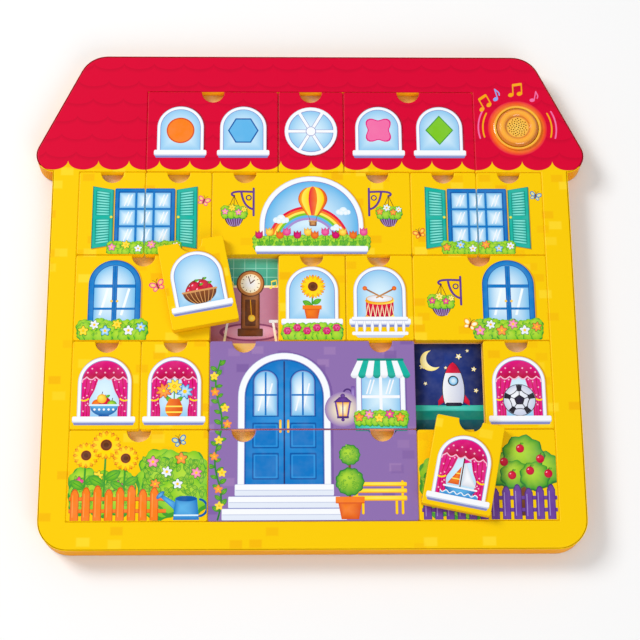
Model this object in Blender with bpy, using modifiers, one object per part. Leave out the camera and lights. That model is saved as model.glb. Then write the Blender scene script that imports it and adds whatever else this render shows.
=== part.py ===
"""Musical house puzzle: a layered house board, 21 lift-out picture tiles and a press-to-play sound module.

Run it with blender --background --python part.py, or from Blender's text editor.
Lengths are in metres and +Z is up, out of the picture. Pieces are placed from the eaves line:
X = 0 in the middle of the house, Y = 0 where the roof meets the wall. The empty "house_origin"
moves that point so that the middle of the outline lies on the world's origin.
"""

import math

import bmesh
import bpy

MM = 0.001

# Clearances
GLUE_GAP = 0.3 * MM  # between two faces that are glued, screwed or rest on each other
LEAF_GAP = 0.1 * MM  # between a contact leaf and what it presses on
TILE_GAP = 0.3 * MM  # round each tile, in its cell of the picture
PRESS_GAP = 0.3 * MM  # round the button cap, inside its collar
HOLE_GAP = 0.3 * MM  # round a screw's shank, and round what passes through a board
OVERRUN = 1.0 * MM  # how far a cutter runs past the face that it cuts

# Outline of the house, round the picture grid
TOP_MARGIN = 27.45 * MM
SIDE_MARGIN = 18.5 * MM
FOOT_MARGIN = 18.8 * MM
ROOF_END = 29.0 * MM  # from the roof row to where the roof's corner begins
ROOF_CORNER_R = 20.0 * MM
EAVES_LOBE_IN = 1.0 * MM  # from the wall's side in to the lobe's middle
EAVES_LOBE_R = 13.0 * MM
WALL_CORNER_R = 20.0 * MM
EDGE_WRAP_T = 0.4 * MM
EDGE_WRAP_SETBACK = 0.3 * MM  # from the front and back faces
ROOF_CORNER_STEPS = 8
LOBE_STEPS = 12
WALL_CORNER_STEPS = 10

# Layers, from the back
BACK_T = 2.0 * MM
CORE_T = 6.9 * MM
PICTURE_T = 1.5 * MM
TILE_T = 6.7 * MM
FRONT_ROUND = 0.6 * MM
TILE_ROUND = 0.45 * MM
ROUND_STEPS = 2

# Picture grid: each row's top edge is a whole number of rows under the eaves
UNIT_W = 46.0 * MM
ROW_H = 61.55 * MM
WALL_UNITS = 7
ROOF_UNITS = 5
WALL_ROWS = 4
NOTCH_R = 8.0 * MM
NOTCH_STEPS = 10
TILE_CORNER_R = 1.2 * MM
TILE_CORNER_STEPS = 2
ROWS = (
    ("roof", -1, (("left", 2), ("centre", 1), ("right", 2))),
    ("upper", 0, (("1", 1), ("2", 1), ("3", 3), ("4", 1), ("5", 1))),
    ("middle", 1, (("1", 2), ("2", 1), ("3", 1), ("4", 1), ("5", 2))),
    ("lower", 2, (("1", 1), ("2", 1), ("3", 3), ("4", 1), ("5", 1))),
    ("ground", 3, (("left", 2), ("door", 3), ("right", 2))),
)

# The two tiles that are out and lie on the picture: moved to the right and up from their cells, in
# shares of a cell's width and height, and turned
FIRST_OUT_SHARES = (-0.6804, 0.1381)
FIRST_OUT_TURN = math.radians(11.0)
SECOND_OUT_SHARES = (0.1413, -0.9163)
SECOND_OUT_TURN = math.radians(-11.5)

# Sound module: place, housing and collar
SOUND_OUT = 30.8 * MM  # from the roof row's right end
SOUND_UP = 33.7 * MM  # from the eaves
HOUSING_RIM_T = 1.95 * MM  # outside the collar's seat
HOUSING_WALL = 1.2 * MM
CHAMBER_H = 4.3 * MM
SHELF_T = 0.8 * MM
SHELF_HOLE_R = 6.0 * MM
COLLAR_R = 15.75 * MM
COLLAR_WALL = 0.75 * MM
BEZEL_LIP = 1.25 * MM
BEZEL_T = 1.2 * MM
BEZEL_ROUND = 0.5 * MM
ROUND_SIDES = 40
INNER_SIDES = 24

# Button cap, speaker and return spring
PRESS_TRAVEL = 1.2 * MM
CAP_WALL = 0.8 * MM
CAP_RISE = 2.0 * MM  # the cap's rim over the front face
CAP_EDGE_ROUND = 0.9 * MM
CAP_RING_MARGIN = 0.3 * MM  # from the grille and from the rim's rounding
CAP_RING_H = 1.3 * MM
CAP_RING_STEPS = 8
GRILLE_R = 8.35 * MM
GRILLE_SINK = 0.4 * MM
GRILLE_T = 1.0 * MM
GRILLE_EDGE = 0.9 * MM
GRILLE_HOLE_R = 0.5 * MM
GRILLE_HOLES = 54
GRILLE_HOLE_SIDES = 8
GOLDEN_TURN = math.radians(137.508)
SPRING_ROOM = 3.7 * MM
CARRIER_T = 1.0 * MM
STEM_R = 2.5 * MM
STEM_L = 1.2 * MM
MAGNET_R = 7.0 * MM
MAGNET_T = 1.9 * MM
BASKET_T = 0.8 * MM
BASKET_FLANGE_W = 1.6 * MM
BASKET_HOLE_R = 2.4 * MM
CONE_T = 0.4 * MM
CONE_DOME_R = 3.4 * MM
CONE_DOME_H = 1.0 * MM
CONE_DROP = 1.5 * MM
SPRING_WIRE_R = 0.35 * MM
SPRING_WIDE_R = 12.2 * MM
SPRING_NARROW_R = 7.5 * MM
SPRING_TURNS = 3
SPRING_POINTS_PER_TURN = 14

# Circuit board, switch, chip and screws
PCB_T = 1.0 * MM
PCB_LIFT = 1.5 * MM  # over the back board
SWITCH_SIDE = 6.0 * MM
SWITCH_H = 3.4 * MM
SWITCH_ROUND = 0.3 * MM
PLUNGER_R = 1.7 * MM
PLUNGER_IN = 0.4 * MM  # how deep it stands in the switch at rest
PLUNGER_GAP = 0.3 * MM
CHIP_L = 5.0 * MM
CHIP_W = 4.0 * MM
CHIP_H = 1.0 * MM
CHIP_IN = 7.3 * MM  # from the chamber's wall
BOSS_R = 2.2 * MM
PCB_SCREW_IN = 4.8 * MM  # from the chamber's wall
SCREW_HEAD_R = 1.9 * MM
SCREW_HEAD_H = 1.1 * MM
SCREW_SHANK_R = 0.75 * MM
SCREW_RECESS_H = 0.4 * MM
PCB_SCREW_L = 2.6 * MM
SCREW_SIDES = 16

# Battery bay, cells, contacts and door
BAY_UP = 30.3 * MM  # from the module's middle
BAY_END_OUT = 7.7 * MM  # the bay's right end, from the module's middle
BAY_SIDE_SPACE = 1.7 * MM  # beside the cells, room for a wire
BAY_POCKET_L = 10.0 * MM  # for the wires and the door's screw
NECK_W = 6.0 * MM
CELL_R = 5.8 * MM
CELL_H = 5.4 * MM
CELL_ROUND = 0.4 * MM
CELL_SPACE = 0.6 * MM
CELL_WALL_SPACE = 1.0 * MM  # from the bay's end wall to the first cell, room for the leaf there
CELLS = 3
CELL_SIDES = 20
LEAF_T = 0.3 * MM
LEAF_W = 6.0 * MM
LEAF_INSET = 3.0 * MM  # from a cell's far edge to the end of a leaf over it
LEAF_TAIL = 2.6 * MM
LEAF_TONGUE = 8.0 * MM
HATCH_STEP = 0.3 * MM  # the bay's walls stand back from the hatch's edge
HATCH_CORNER_R = 1.5 * MM
DOOR_T = 1.2 * MM
DOOR_SETBACK = 0.4 * MM
DOOR_SCREW_FROM_END = 4.5 * MM
DOOR_SCREW_FROM_SIDE = 3.3 * MM
DOOR_SCREW_HEAD_H = 0.7 * MM
DOOR_SCREW_L = 3.9 * MM
DOOR_SCREW_REST = 0.1 * MM  # head over the bottom of its recess

# Wires
WIRE_R = 0.45 * MM
WIRE_RESOLUTION = 1

# Finishes: red, green, blue, roughness, metallic
FINISHES = {
    "yellow_print": (0.99, 0.66, 0.01, 0.38, 0.0),
    "red_print": (0.72, 0.0, 0.035, 0.38, 0.0),
    "purple_print": (0.30, 0.17, 0.46, 0.38, 0.0),
    "yellow_edge": (0.87, 0.40, 0.02, 0.45, 0.0),
    "board": (0.55, 0.38, 0.22, 0.75, 0.0),
    "picture": (0.80, 0.45, 0.05, 0.5, 0.0),
    "module_plastic": (0.80, 0.80, 0.78, 0.45, 0.0),
    "orange_plastic": (0.93, 0.28, 0.01, 0.25, 0.0),
    "yellow_plastic": (0.98, 0.50, 0.02, 0.25, 0.0),
    "black_plastic": (0.02, 0.02, 0.02, 0.5, 0.0),
    "paper_cone": (0.05, 0.05, 0.05, 0.8, 0.0),
    "steel": (0.60, 0.60, 0.60, 0.3, 1.0),
    "brass": (0.75, 0.55, 0.25, 0.3, 1.0),
    "circuit": (0.02, 0.25, 0.08, 0.4, 0.0),
    "wire_red": (0.6, 0.02, 0.02, 0.5, 0.0),
    "wire_black": (0.02, 0.02, 0.02, 0.5, 0.0),
}

# Outline and places that the grid and the margins give
WALL_HALF = WALL_UNITS * UNIT_W / 2 + SIDE_MARGIN
WALL_DROP = WALL_ROWS * ROW_H + FOOT_MARGIN
ROOF_RISE = ROW_H + TOP_MARGIN
ROOF_TOP_HALF = ROOF_UNITS * UNIT_W / 2 + ROOF_END
EAVES_LOBE_X = WALL_HALF - EAVES_LOBE_IN
MIDDLE_Y = (ROOF_RISE - WALL_DROP) / 2
SOUND_X = ROOF_UNITS * UNIT_W / 2 + SOUND_OUT
SOUND_Y = SOUND_UP
HOUSING_R = COLLAR_R + GLUE_GAP + HOUSING_RIM_T
PCB_SCREW_OUT = HOUSING_R - HOUSING_WALL - PCB_SCREW_IN
CHIP_DOWN = HOUSING_R - HOUSING_WALL - CHIP_IN
BEZEL_R = COLLAR_R + BEZEL_LIP
BAY_L = CELL_WALL_SPACE + CELLS * 2 * CELL_R + (CELLS - 1) * CELL_SPACE + BAY_POCKET_L
BAY_W = 2 * (CELL_R + BAY_SIDE_SPACE)
BAY_X = SOUND_X + BAY_END_OUT - BAY_L / 2
BAY_Y = SOUND_Y + BAY_UP
HATCH_L = BAY_L - 2 * HATCH_STEP
HATCH_W = BAY_W - 2 * HATCH_STEP
DOOR_SCREW_X = BAY_X + BAY_L / 2 - DOOR_SCREW_FROM_END
DOOR_SCREW_Y = BAY_Y + BAY_W / 2 - DOOR_SCREW_FROM_SIDE

# Heights that the layers give
CORE_Z = BACK_T + GLUE_GAP
PICTURE_Z = CORE_Z + CORE_T + GLUE_GAP
FRONT_Z = PICTURE_Z + PICTURE_T + GLUE_GAP
FACE_Z = FRONT_Z + TILE_T
SHELF_Z = CORE_Z + CHAMBER_H
SHELF_TOP_Z = SHELF_Z + SHELF_T
CARRIER_Z = SHELF_TOP_Z + SPRING_ROOM
PCB_Z = CORE_Z + PCB_LIFT
PCB_TOP_Z = PCB_Z + PCB_T
SWITCH_Z = PCB_TOP_Z + LEAF_GAP
DOOR_LEAF_Z = DOOR_SETBACK + DOOR_T + LEAF_GAP
CELL_Z = DOOR_LEAF_Z + LEAF_T + LEAF_GAP
TOP_LEAF_Z = CELL_Z + CELL_H + LEAF_GAP
BAY_CEILING_Z = TOP_LEAF_Z + LEAF_T + LEAF_GAP
CAP_RIM_Z = FACE_Z + CAP_RISE
GRILLE_TOP_Z = CAP_RIM_Z - GRILLE_SINK
GRILLE_Z = GRILLE_TOP_Z - GRILLE_T
BOARD_INSET = EDGE_WRAP_T + GLUE_GAP
CAP_R = COLLAR_R - COLLAR_WALL - PRESS_GAP
CARRIER_R = CAP_R - CAP_WALL - GLUE_GAP


def clear_scene():
    for obj in list(bpy.data.objects):
        bpy.data.objects.remove(obj, do_unlink=True)


def collection_named(name):
    found = bpy.data.collections.new(name)
    bpy.context.scene.collection.children.link(found)
    return found


def put_in(obj, collection):
    for other in list(obj.users_collection):
        other.objects.unlink(obj)
    collection.objects.link(obj)


def material_for(obj, finish):
    red, green, blue, roughness, metallic = FINISHES[finish]
    material = bpy.data.materials.new(obj.name + "_finish")
    material.use_nodes = True
    surface = material.node_tree.nodes["Principled BSDF"]
    surface.inputs["Base Color"].default_value = (red, green, blue, 1)
    surface.inputs["Roughness"].default_value = roughness
    surface.inputs["Metallic"].default_value = metallic
    material.diffuse_color = (red, green, blue, 1)
    obj.data.materials.clear()
    obj.data.materials.append(material)


def add_piece(obj, finish, body="board"):
    """Puts a finished object among the parts, under its body's empty, with its own material."""
    put_in(obj, PARTS)
    obj.parent = EMPTIES[body]
    material_for(obj, finish)
    obj["body"] = body
    return obj


def as_cutter(obj):
    """A cutter is drawn as wire, is never rendered and moves with the house."""
    put_in(obj, CUTTERS)
    obj.parent = EMPTIES["board"]
    obj.hide_render = True
    obj.display_type = "WIRE"
    return obj


def add_boolean(obj, cutter, operation="DIFFERENCE"):
    modifier = obj.modifiers.new(operation.lower() + "_" + cutter.name, "BOOLEAN")
    modifier.operation = operation
    modifier.solver = "EXACT"
    modifier.object = cutter


def arc(centre_x, centre_y, radius, start, end, steps):
    """Points of an arc, both ends included; angles in degrees, counter-clockwise from +X."""
    points = []
    for step in range(steps + 1):
        angle = math.radians(start + (end - start) * step / steps)
        points.append((centre_x + radius * math.cos(angle), centre_y + radius * math.sin(angle)))
    return points


def rounded_rectangle(length, width, radius, steps=TILE_CORNER_STEPS):
    x, y = length / 2 - radius, width / 2 - radius
    return (
        arc(-x, -y, radius, 180, 270, steps)
        + arc(x, -y, radius, 270, 360, steps)
        + arc(x, y, radius, 0, 90, steps)
        + arc(-x, y, radius, 90, 180, steps)
    )


def circle(centre_x, centre_y, radius, sides=ROUND_SIDES):
    return arc(centre_x, centre_y, radius, 0, 360, sides)[:-1]


def house_outline(inset):
    """The house's outline, drawn in by inset: top edge, roof corner, slanted side, eaves lobe, wall."""
    corner_x, corner_y = ROOF_TOP_HALF, ROOF_RISE - ROOF_CORNER_R
    lobe_x, lobe_y = EAVES_LOBE_X, EAVES_LOBE_R
    between = math.hypot(lobe_x - corner_x, lobe_y - corner_y)
    slope = math.atan2(lobe_y - corner_y, lobe_x - corner_x)
    side = math.degrees(slope + math.acos((ROOF_CORNER_R - EAVES_LOBE_R) / between))
    lobe_r = EAVES_LOBE_R - inset
    wall_x = WALL_HALF - inset
    meet = -math.degrees(math.acos((wall_x - lobe_x) / lobe_r))
    foot_x, foot_y = WALL_HALF - WALL_CORNER_R, WALL_CORNER_R - WALL_DROP
    right = (
        arc(corner_x, corner_y, ROOF_CORNER_R - inset, 90, side, ROOF_CORNER_STEPS)
        + arc(lobe_x, lobe_y, lobe_r, side, meet, LOBE_STEPS)
        + arc(foot_x, foot_y, WALL_CORNER_R - inset, 0, -90, WALL_CORNER_STEPS)
    )
    left = [(-x, y) for x, y in reversed(right)]
    return right + left


def picture_outline():
    """The opening of the front frame: the wall's rows with the roof row on top."""
    wall_x, roof_x = WALL_UNITS * UNIT_W / 2, ROOF_UNITS * UNIT_W / 2
    foot = -WALL_ROWS * ROW_H
    right = [(roof_x, ROW_H), (roof_x, 0), (wall_x, 0), (wall_x, foot)]
    return right + [(-x, y) for x, y in reversed(right)]


def notch_places(units):
    """Where a tile's finger notches sit along its top edge: one in the middle, or two on a wide tile."""
    if units < 3:
        return [0]
    return [UNIT_W * (units - 1) / 2, -UNIT_W * (units - 1) / 2]


def tile_outline(units):
    half_w, half_h = units * UNIT_W / 2 - TILE_GAP, ROW_H / 2 - TILE_GAP
    x, y = half_w - TILE_CORNER_R, half_h - TILE_CORNER_R
    points = (
        arc(-x, -y, TILE_CORNER_R, 180, 270, TILE_CORNER_STEPS)
        + arc(x, -y, TILE_CORNER_R, 270, 360, TILE_CORNER_STEPS)
        + arc(x, y, TILE_CORNER_R, 0, 90, TILE_CORNER_STEPS)
    )
    for place in notch_places(units):
        points += arc(place, half_h, NOTCH_R, 0, -180, NOTCH_STEPS)
    return points + arc(-x, y, TILE_CORNER_R, 90, 180, TILE_CORNER_STEPS)


def plate(name, loops, thickness, rounding=0.0):
    """A flat board from closed outlines, the second and later ones being holes. Its back is at z = 0.

    The outlines are a 2D curve, which is extruded and made a mesh, so that it can be cut. Where
    rounding is given, the rim of its front face is rounded by a Bevel on weighted edges.
    """
    curve = bpy.data.curves.new(name + "_outline", "CURVE")
    curve.dimensions = "2D"
    curve.fill_mode = "BOTH"
    curve.extrude = thickness / 2
    for loop in loops:
        spline = curve.splines.new("POLY")
        spline.points.add(len(loop) - 1)
        for point, (x, y) in zip(spline.points, loop):
            point.co = (x, y, 0, 1)
        spline.use_cyclic_u = True
    drawn = bpy.data.objects.new(name + "_outline", curve)
    bpy.context.scene.collection.objects.link(drawn)
    mesh = bpy.data.meshes.new_from_object(drawn.evaluated_get(bpy.context.evaluated_depsgraph_get()))
    mesh.name = name
    bpy.data.objects.remove(drawn, do_unlink=True)
    weld(mesh, lift=thickness / 2, rounded=rounding > 0)
    obj = bpy.data.objects.new(name, mesh)
    bpy.context.scene.collection.objects.link(obj)
    if rounding:
        add_bevel(obj, rounding, ROUND_STEPS, "WEIGHT")
    return obj


def weld(mesh, lift=0.0, rounded=False):
    """Welds a curve's caps to its sides, joins flat triangles and weights the front rim for a Bevel."""
    edit = bmesh.new()
    edit.from_mesh(mesh)
    bmesh.ops.remove_doubles(edit, verts=edit.verts, dist=MM / 1000)
    bmesh.ops.translate(edit, verts=edit.verts, vec=(0, 0, lift))
    bmesh.ops.dissolve_limit(edit, angle_limit=math.radians(1), verts=edit.verts, edges=edit.edges)
    bmesh.ops.recalc_face_normals(edit, faces=edit.faces)
    if rounded:
        weights = edit.edges.layers.float.new("bevel_weight_edge")
        for edge in edit.edges:
            at_front = all(vert.co.z > lift for vert in edge.verts)
            if at_front and edge.calc_face_angle(0) > math.radians(45):
                edge[weights] = 1.0
    edit.to_mesh(mesh)
    edit.free()


def add_bevel(obj, width, segments, limit="ANGLE"):
    modifier = obj.modifiers.new("rounding", "BEVEL")
    modifier.width = width
    modifier.segments = segments
    modifier.limit_method = limit
    modifier.angle_limit = math.radians(50)
    return modifier


def block(name, length, width, height, x, y, z):
    """A box with its bottom face's middle at x, y, z."""
    bpy.ops.mesh.primitive_cube_add(size=1)
    obj = bpy.context.object
    obj.name = name
    obj.data.name = name
    bmesh_scale(obj, length, width, height)
    obj.location = (x, y, z + height / 2)
    return obj


def bmesh_scale(obj, x, y, z):
    edit = bmesh.new()
    edit.from_mesh(obj.data)
    bmesh.ops.scale(edit, vec=(x, y, z), verts=edit.verts)
    edit.to_mesh(obj.data)
    edit.free()


def disc(name, radius, height, x, y, z, sides=ROUND_SIDES):
    """A cylinder with its bottom face's middle at x, y, z."""
    bpy.ops.mesh.primitive_cylinder_add(vertices=sides, radius=radius, depth=height)
    obj = bpy.context.object
    obj.name = name
    obj.data.name = name
    obj.location = (x, y, z + height / 2)
    return obj


def turned(name, profile, x, y, sides=ROUND_SIDES, closed=False):
    """A profile of (radius, height) pairs, listed from the bottom up on its outside, turned about Z."""
    mesh = bpy.data.meshes.new(name)
    edit = bmesh.new()
    verts = [edit.verts.new((radius, 0, height)) for radius, height in profile]
    for first, second in zip(verts, verts[1:]):
        edit.edges.new((first, second))
    if closed:
        edit.edges.new((verts[-1], verts[0]))
    edit.to_mesh(mesh)
    edit.free()
    obj = bpy.data.objects.new(name, mesh)
    bpy.context.scene.collection.objects.link(obj)
    screw = obj.modifiers.new("turn", "SCREW")
    screw.axis = "Z"
    screw.steps = sides
    screw.render_steps = sides
    screw.use_merge_vertices = True
    screw.merge_threshold = MM / 1000
    screw.use_smooth_shade = False
    screw.use_normal_flip = True
    obj.location = (x, y, 0)
    return obj


def tube(name, points, radius, resolution):
    """A round wire along points, with filled caps."""
    curve = bpy.data.curves.new(name, "CURVE")
    curve.dimensions = "3D"
    curve.bevel_depth = radius
    curve.bevel_resolution = resolution
    curve.use_fill_caps = True
    spline = curve.splines.new("POLY")
    spline.points.add(len(points) - 1)
    for point, co in zip(spline.points, points):
        point.co = (*co, 1)
    obj = bpy.data.objects.new(name, curve)
    bpy.context.scene.collection.objects.link(obj)
    return obj


def smooth_route(corners, steps):
    """Points of a smooth curve through a wire's own corner points."""
    first = [2 * a - b for a, b in zip(corners[0], corners[1])]
    last = [2 * a - b for a, b in zip(corners[-1], corners[-2])]
    knots = [first, *corners, last]
    points = []
    for p0, p1, p2, p3 in zip(knots, knots[1:], knots[2:], knots[3:]):
        for step in range(steps):
            t = step / steps
            point = []
            for a, b, c, d in zip(p0, p1, p2, p3):
                rise, bend, twist = c - a, 2 * a - 5 * b + 4 * c - d, 3 * b - a - 3 * c + d
                point.append(b + t * (rise + t * (bend + t * twist)) / 2)
            points.append(tuple(point))
    return [*points, tuple(corners[-1])]


def make_boards():
    """Back board with its battery hatch, hollow core, picture board and the front frame."""
    hatch = [(x + BAY_X, y + BAY_Y) for x, y in rounded_rectangle(HATCH_L, HATCH_W, HATCH_CORNER_R)]
    outline = house_outline(BOARD_INSET)
    through = circle(SOUND_X, SOUND_Y, COLLAR_R + HOLE_GAP)

    back = plate("back_board", [outline, hatch], BACK_T)
    add_piece(back, "board")

    core = plate("core_board", [outline], CORE_T)
    core.location.z = CORE_Z
    for cutter in housing_shapes("core_room", GLUE_GAP, CORE_Z - OVERRUN, CORE_T + 2 * OVERRUN):
        add_boolean(core, as_cutter(cutter))
    add_piece(core, "board")

    picture = plate("picture_board", [outline, through], PICTURE_T)
    picture.location.z = PICTURE_Z
    add_piece(picture, "picture")

    front = plate("front_frame", [outline, picture_outline(), through], TILE_T, FRONT_ROUND)
    front.location.z = FRONT_Z
    add_piece(front, "yellow_print")

    wrap_h = FACE_Z - 2 * EDGE_WRAP_SETBACK
    wrap = plate("edge_wrap", [house_outline(0), house_outline(EDGE_WRAP_T)], wrap_h)
    wrap.location.z = EDGE_WRAP_SETBACK
    add_piece(wrap, "yellow_edge")


def make_tiles():
    """One board per tile, seated in its cell, or lying on the picture where it is out."""
    out = {
        "tile_middle_2": (FIRST_OUT_SHARES, FIRST_OUT_TURN),
        "tile_lower_4": (SECOND_OUT_SHARES, SECOND_OUT_TURN),
    }
    for row, rows_down, cells in ROWS:
        left = -sum(units for _, units in cells) * UNIT_W / 2
        middle_y = -(rows_down * ROW_H + ROW_H / 2)
        for label, units in cells:
            name = f"tile_{row}_{label}"
            tile = plate(name, [tile_outline(units)], TILE_T, TILE_ROUND)
            tile.location = (left + units * UNIT_W / 2, middle_y, FRONT_Z)
            if name in out:
                (right_share, up_share), turn = out[name]
                tile.location.x += right_share * UNIT_W
                tile.location.y += up_share * ROW_H
                tile.location.z = FACE_Z + GLUE_GAP
                tile.rotation_euler.z = turn
            finish = "red_print" if row == "roof" else "yellow_print"
            if name in ("tile_lower_3", "tile_ground_door"):
                finish = "purple_print"
            add_piece(tile, finish)
            left += units * UNIT_W


def housing_shapes(name, spare, bottom, height):
    """The housing's outer shapes, grown by spare: the round cup, the battery bay and the neck between."""
    bay_l = BAY_L + 2 * (HOUSING_WALL + spare)
    bay_w = BAY_W + 2 * (HOUSING_WALL + spare)
    neck_w = NECK_W + 2 * (HOUSING_WALL + spare)
    neck_l = BAY_Y - SOUND_Y
    return (
        disc(name + "_cup", HOUSING_R + spare, height, SOUND_X, SOUND_Y, bottom),
        block(name + "_bay", bay_l, bay_w, height, BAY_X, BAY_Y, bottom),
        block(name + "_neck", neck_w, neck_l, height, SOUND_X, SOUND_Y + neck_l / 2, bottom),
    )


def make_housing():
    """The rear housing: chamber for the circuit board, shelf for the spring, bay for the cells."""
    cup, bay, neck = housing_shapes("module_housing", 0, CORE_Z, CORE_T)
    cup.name = "module_housing"
    add_boolean(cup, as_cutter(bay), "UNION")
    add_boolean(cup, as_cutter(neck), "UNION")

    chamber = disc(
        "chamber_room", HOUSING_R - HOUSING_WALL, CHAMBER_H + OVERRUN, SOUND_X, SOUND_Y, CORE_Z - OVERRUN
    )
    add_boolean(cup, as_cutter(chamber))
    shelf_hole = disc("shelf_hole", SHELF_HOLE_R, CORE_T + 2 * OVERRUN, SOUND_X, SOUND_Y, CORE_Z - OVERRUN)
    add_boolean(cup, as_cutter(shelf_hole))
    collar_seat_h = CORE_T - CHAMBER_H - SHELF_T
    collar_seat = disc(
        "collar_seat", COLLAR_R + GLUE_GAP, collar_seat_h + OVERRUN, SOUND_X, SOUND_Y, SHELF_TOP_Z
    )
    add_boolean(cup, as_cutter(collar_seat))
    bay_h = BAY_CEILING_Z - CORE_Z
    bay_room = block("bay_room", BAY_L, BAY_W, bay_h + OVERRUN, BAY_X, BAY_Y, CORE_Z - OVERRUN)
    add_boolean(cup, as_cutter(bay_room))
    channel_l = BAY_Y - SOUND_Y - HOUSING_R / 2
    channel = block(
        "neck_room", NECK_W, channel_l, CHAMBER_H + OVERRUN, SOUND_X, BAY_Y - channel_l / 2, CORE_Z - OVERRUN
    )
    add_boolean(cup, as_cutter(channel))

    boss_z = PCB_TOP_Z + GLUE_GAP
    for side in (-1, 1):
        x = SOUND_X + side * PCB_SCREW_OUT
        boss = disc(f"pcb_boss_{side}", BOSS_R, SHELF_TOP_Z - boss_z, x, SOUND_Y, boss_z, SCREW_SIDES)
        add_boolean(cup, as_cutter(boss), "UNION")
        hole_h = SHELF_Z - boss_z
        hole = disc(
            f"pcb_boss_hole_{side}",
            SCREW_SHANK_R + HOLE_GAP,
            hole_h + OVERRUN,
            x,
            SOUND_Y,
            boss_z - OVERRUN,
            SCREW_SIDES,
        )
        add_boolean(cup, as_cutter(hole))
    x, y = DOOR_SCREW_X, DOOR_SCREW_Y
    boss = disc("door_boss", BOSS_R, CORE_T, x, y, CORE_Z, SCREW_SIDES)
    add_boolean(cup, as_cutter(boss), "UNION")
    hole = disc(
        "door_boss_hole",
        SCREW_SHANK_R + HOLE_GAP,
        DOOR_SCREW_L + OVERRUN,
        x,
        y,
        CORE_Z - OVERRUN,
        SCREW_SIDES,
    )
    add_boolean(cup, as_cutter(hole))
    add_piece(cup, "module_plastic")


def make_collar():
    """The front collar: a bezel that rests on the frame and a barrel that reaches down to the shelf."""
    inner = COLLAR_R - COLLAR_WALL
    bottom, seat = SHELF_TOP_Z + GLUE_GAP, FACE_Z + GLUE_GAP
    top = seat + BEZEL_T
    profile = [
        (inner, bottom),
        (COLLAR_R, bottom),
        (COLLAR_R, seat),
        (BEZEL_R, seat),
        (BEZEL_R, top - BEZEL_ROUND),
        (BEZEL_R - BEZEL_ROUND / 3, top - BEZEL_ROUND / 3),
        (BEZEL_R - BEZEL_ROUND, top),
        (inner + BEZEL_ROUND, top),
        (inner, top - BEZEL_ROUND),
    ]
    add_piece(turned("bezel_collar", profile, SOUND_X, SOUND_Y, closed=True), "orange_plastic")


def make_cap():
    """The button cap: a skirt, a raised ring and a sunken grille with holes on a sunflower spiral."""
    rim, grille_top, ceiling = CAP_RIM_Z, GRILLE_TOP_Z, GRILLE_Z
    ring_in, ring_out = GRILLE_R + CAP_RING_MARGIN, CAP_R - CAP_EDGE_ROUND - CAP_RING_MARGIN
    ring_r, ring_half = (ring_in + ring_out) / 2, (ring_out - ring_in) / 2
    outside = [(CAP_R, CARRIER_Z), (CAP_R, rim - CAP_EDGE_ROUND)]
    outside += [(CAP_R - CAP_EDGE_ROUND / 3, rim - CAP_EDGE_ROUND / 3)]
    for step in range(CAP_RING_STEPS + 1):
        angle = math.pi * step / CAP_RING_STEPS
        radius = ring_r + ring_half * math.cos(angle)
        outside.append((radius, rim + CAP_RING_H * math.sin(angle)))
    outside += [(GRILLE_R, grille_top), (0, grille_top)]
    inside = [
        (0, ceiling),
        (GRILLE_R + GRILLE_EDGE, ceiling),
        (ring_in + CAP_WALL, rim - CAP_WALL),
        (ring_r, rim + CAP_RING_H - CAP_WALL),
        (ring_out - CAP_WALL, rim - CAP_WALL),
        (CAP_R - CAP_WALL, ceiling),
        (CAP_R - CAP_WALL, CARRIER_Z),
    ]
    cap = turned("button_cap", inside + outside, SOUND_X, SOUND_Y)
    reach = GRILLE_R - GRILLE_EDGE - GRILLE_HOLE_R
    drill = bmesh.new()
    for number in range(GRILLE_HOLES):
        radius = reach * math.sqrt((2 * number + 1) / (2 * GRILLE_HOLES))
        angle = number * GOLDEN_TURN
        made = bmesh.ops.create_cone(
            drill,
            cap_ends=True,
            segments=GRILLE_HOLE_SIDES,
            radius1=GRILLE_HOLE_R,
            radius2=GRILLE_HOLE_R,
            depth=GRILLE_T + 2 * OVERRUN,
        )
        place = (radius * math.cos(angle), radius * math.sin(angle), ceiling + GRILLE_T / 2)
        bmesh.ops.translate(drill, verts=made["verts"], vec=place)
    mesh = bpy.data.meshes.new("grille_holes")
    drill.to_mesh(mesh)
    drill.free()
    holes = bpy.data.objects.new("grille_holes", mesh)
    holes.location = (SOUND_X, SOUND_Y, 0)
    add_boolean(cap, as_cutter(holes))
    add_piece(cap, "yellow_plastic", "button")


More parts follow.
